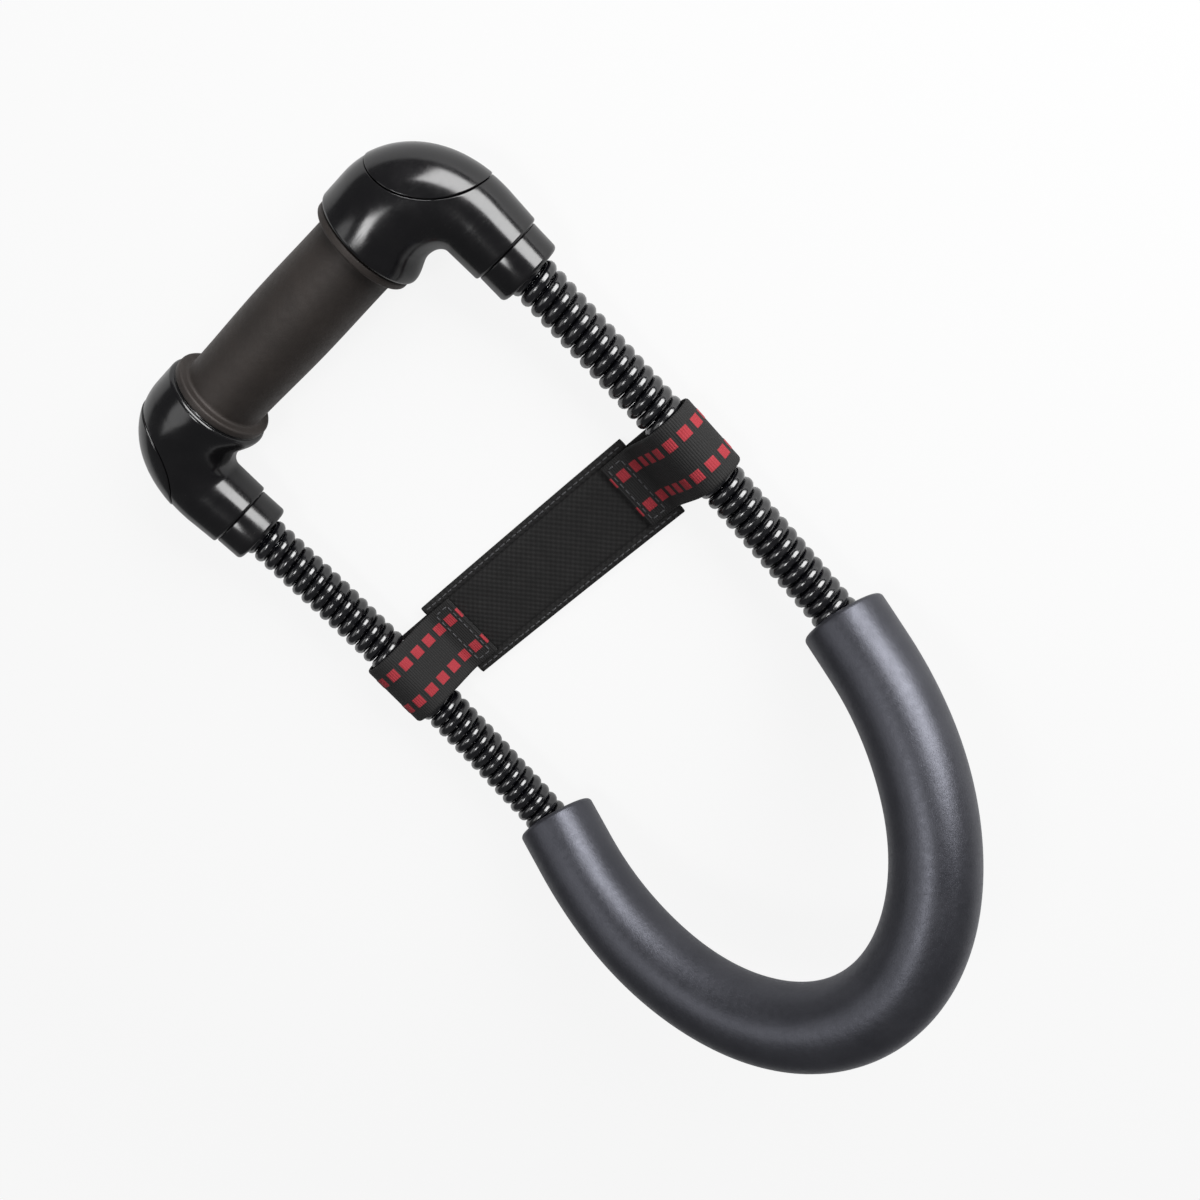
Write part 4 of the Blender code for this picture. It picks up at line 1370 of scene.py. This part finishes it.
stitches = {side: tail_stitches(side, sign) for side, sign in SIDES.items()}
stitches["band"] = binding_stitches()
for piece in stitches.values():
    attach(piece, "strap")
for side in SIDES:
    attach(webbing[side], "strap")
print("pieces of thread:", ", ".join(piece.name for piece in stitches.values()))

# %% [markdown]
# ## Woven finishes
# Webbing shows fine ribs across it, over threads that run along it. The band is a coarser basket
# weave. Both are waves in the place attribute, in millimetres, so the threads have their real size.
# The dashes use the same row, width and pitch as the mesh.

# %% Webbing finish
RIB_PITCH = 0.9
THREAD_PITCH = 0.55
COLOUR_EDGE = 0.12
RED_THREAD = (0.24, 0.011, 0.017, 1)
RED_THREAD_WORN = (0.34, 0.030, 0.042, 1)
BLACK_THREAD = (0.004, 0.0038, 0.0038, 1)
BLACK_THREAD_WORN = (0.013, 0.0125, 0.0125, 1)


def wave_of(tree, value, pitch):
    """A row of round ridges from 0 to 1 with a pitch in millimetres."""
    turn = math_node(tree, "MULTIPLY", value, math.pi / pitch)
    return math_node(tree, "ABSOLUTE", math_node(tree, "SINE", turn))


def off_by(tree, value, middle):
    """How far a value is from a middle, to either side."""
    return math_node(tree, "ABSOLUTE", math_node(tree, "SUBTRACT", value, middle))


def inside(tree, value, half):
    """One where a value is below half, and zero above it, with a soft edge."""
    return between(tree, value, 1.0, 0.0, half - COLOUR_EDGE, half + COLOUR_EDGE)


def on_dashes(tree, across, along):
    """One on the red dashes and zero beside them, as the mesh has them."""
    off_row = off_by(tree, math_node(tree, "ABSOLUTE", across), DASH_ROW / MM)
    turns = math_node(tree, "FRACT", math_node(tree, "DIVIDE", along, DASH_PITCH / MM))
    off_dash = math_node(tree, "MULTIPLY", off_by(tree, turns, 0.5), DASH_PITCH / MM)
    return math_node(tree, "MULTIPLY", inside(tree, off_row, DASH_WIDTH / 2 / MM),
                     inside(tree, off_dash, DASH_LENGTH / 2 / MM))


def webbing_weave():
    material, tree, shader = new_material("ribbed_webbing")
    across, along, _ = split_place(tree)
    ribs = wave_of(tree, along, RIB_PITCH)
    threads = wave_of(tree, across, THREAD_PITCH)
    fuzz = noise(tree, place_node(tree), 3.2, 4.0, 0.65)
    cloudy = noise(tree, place_node(tree), 0.16, 3.0)
    wear = between(tree, math_node(tree, "MULTIPLY", ribs, fuzz), 0.0, 1.0, 0.1, 0.6)
    black = ramp(tree, wear, BLACK_THREAD, BLACK_THREAD_WORN)
    red = ramp(tree, cloudy, RED_THREAD, RED_THREAD_WORN)
    colour = add_node(tree, "ShaderNodeMix", data_type="RGBA")
    for socket, value in ((0, on_dashes(tree, across, along)), (6, black), (7, red)):
        set_input(tree, colour.inputs[socket], value)
    woven = math_node(tree, "MULTIPLY", ribs, between(tree, threads, 0.55, 1.0))
    normal = bump(tree, woven, 0.16 * MM, 0.8)
    normal = bump(tree, fuzz, 0.05 * MM, 0.5, normal)
    gloss = between(tree, fuzz, 0.62, 0.88, 0.3, 0.7)
    finish_with(tree, shader, Base_Color=colour.outputs[2], Roughness=gloss, Normal=normal,
                Sheen_Weight=0.05, Sheen_Roughness=0.4, Specular_IOR_Level=0.35)
    return material


ribbed = webbing_weave()
for piece in webbing.values():
    piece.data.materials.append(ribbed)
print("webbing finish has", len(ribbed.node_tree.nodes), "nodes")

# %% Band and thread finishes
BASKET_PITCH = 1.3
# colour of the band's raised threads: painted light on the tops of the weave, while the threads dipping
# under keep BLACK_THREAD as painted shade
BAND_THREAD_LIT_TOPS = (0.015, 0.0145, 0.0145, 1)
TWIST_PITCH = 0.5
GREY_THREAD = ((0.020, 0.020, 0.022, 1), (0.055, 0.055, 0.060, 1))


def band_weave():
    """A basket weave of coarse nylon: threads go over and under in turn, so it is a product of waves."""
    material, tree, shader = new_material("band_weave")
    across, along, _ = split_place(tree)
    warp, weft = [math_node(tree, "SINE", math_node(tree, "MULTIPLY", value, math.pi / BASKET_PITCH))
                  for value in (across, along)]
    basket = between(tree, math_node(tree, "MULTIPLY", warp, weft), 0.0, 1.0, -1.0, 1.0)
    fine = [wave_of(tree, value, THREAD_PITCH) for value in (across, along)]
    fuzz = noise(tree, place_node(tree), 2.4, 4.0, 0.65)
    cloudy = noise(tree, place_node(tree), 0.12, 4.0, 0.6)
    # painted shade and highlight: the colour follows the basket's relief, darker where threads dip under
    # and lighter on the raised ones, with broad random clouds of tone on top
    painted_weave_shade = math_node(tree, "MULTIPLY", basket, between(tree, cloudy, 0.3, 1.0, 0.3, 0.7))
    colour = ramp(tree, painted_weave_shade, BLACK_THREAD, BAND_THREAD_LIT_TOPS)
    normal = bump(tree, basket, 0.22 * MM, 0.8)
    normal = bump(tree, math_node(tree, "MULTIPLY", *fine), 0.06 * MM, 0.6, normal)
    normal = bump(tree, fuzz, 0.05 * MM, 0.5, normal)
    gloss = between(tree, fuzz, 0.60, 0.85, 0.3, 0.7)
    finish_with(tree, shader, Base_Color=colour, Roughness=gloss, Normal=normal,
                Sheen_Weight=0.03, Sheen_Roughness=0.5, Specular_IOR_Level=0.3)
    return material


def sewing_thread():
    material, tree, shader = new_material("sewing_thread")
    twist = wave_of(tree, split_place(tree)[0], TWIST_PITCH)
    finish_with(tree, shader, Base_Color=ramp(tree, twist, *GREY_THREAD), Roughness=0.55,
                Normal=bump(tree, twist, 0.05 * MM), Sheen_Weight=0.2)
    return material


band.data.materials.append(band_weave())
thread = sewing_thread()
for piece in stitches.values():
    piece.data.materials.append(thread)
print("materials so far:", len(bpy.data.materials))

# %% [markdown]
# ## Steel inside
# The bent tube, the plugs, pins and bolts keep their CAD meshes. Tube steel is drawn and slightly
# brushed, and the small parts are bright zinc with a crystalline bloom. The anchors, which show in
# the mouths of the foam, are blackened like the springs on them. These solids carry no attribute, so
# their finish reads Blender's own object coordinates.

# %% Steel finishes
def object_node(tree):
    """Blender's own object coordinates in millimetres."""
    source = add_node(tree, "ShaderNodeTexCoord")
    inputs = {"Vector": source.outputs["Object"], "Scale": (1 / MM, 1 / MM, 1 / MM)}
    return add_node(tree, "ShaderNodeMapping", inputs).outputs["Vector"]


def steel(name, dark, light, grain, gloss_range):
    material, tree, shader = new_material(name)
    place = object_node(tree)
    bloom = noise(tree, place, grain, 4.0, 0.6)
    inputs = {"Vector": place, "Scale": 1.6, "Distortion": 6.0, "Detail": 3.0}
    streaks = add_node(tree, "ShaderNodeTexWave", inputs, bands_direction="Y").outputs["Fac"]
    gloss = between(tree, bloom, *gloss_range, 0.3, 0.7)
    finish_with(tree, shader, Base_Color=ramp(tree, bloom, dark, light), Roughness=gloss,
                Normal=bump(tree, streaks, 0.01 * MM, 0.3), Metallic=1.0)
    return material


tube_steel = steel("drawn_tube_steel", (0.42, 0.43, 0.45, 1), (0.58, 0.59, 0.60, 1), 0.5, (0.28, 0.45))
zinc = steel("bright_zinc", (0.55, 0.56, 0.58, 1), (0.72, 0.73, 0.74, 1), 1.2, (0.22, 0.40))
blackened = steel("blackened_steel", (0.010, 0.010, 0.011, 1), (0.030, 0.030, 0.032, 1), 0.8,
                  (0.38, 0.55))
FINISHES = {"frame_tube": tube_steel, "handle_tube": tube_steel,
            "left_spring_anchor": blackened, "right_spring_anchor": blackened}
steel_parts = {name: node for name, node in frame["nodes"].items() if not node.hide_render}
for name, node in steel_parts.items():
    for slot in node.material_slots:
        slot.material = FINISHES.get(name, zinc)
print("steel parts that keep their CAD meshes:", len(steel_parts))
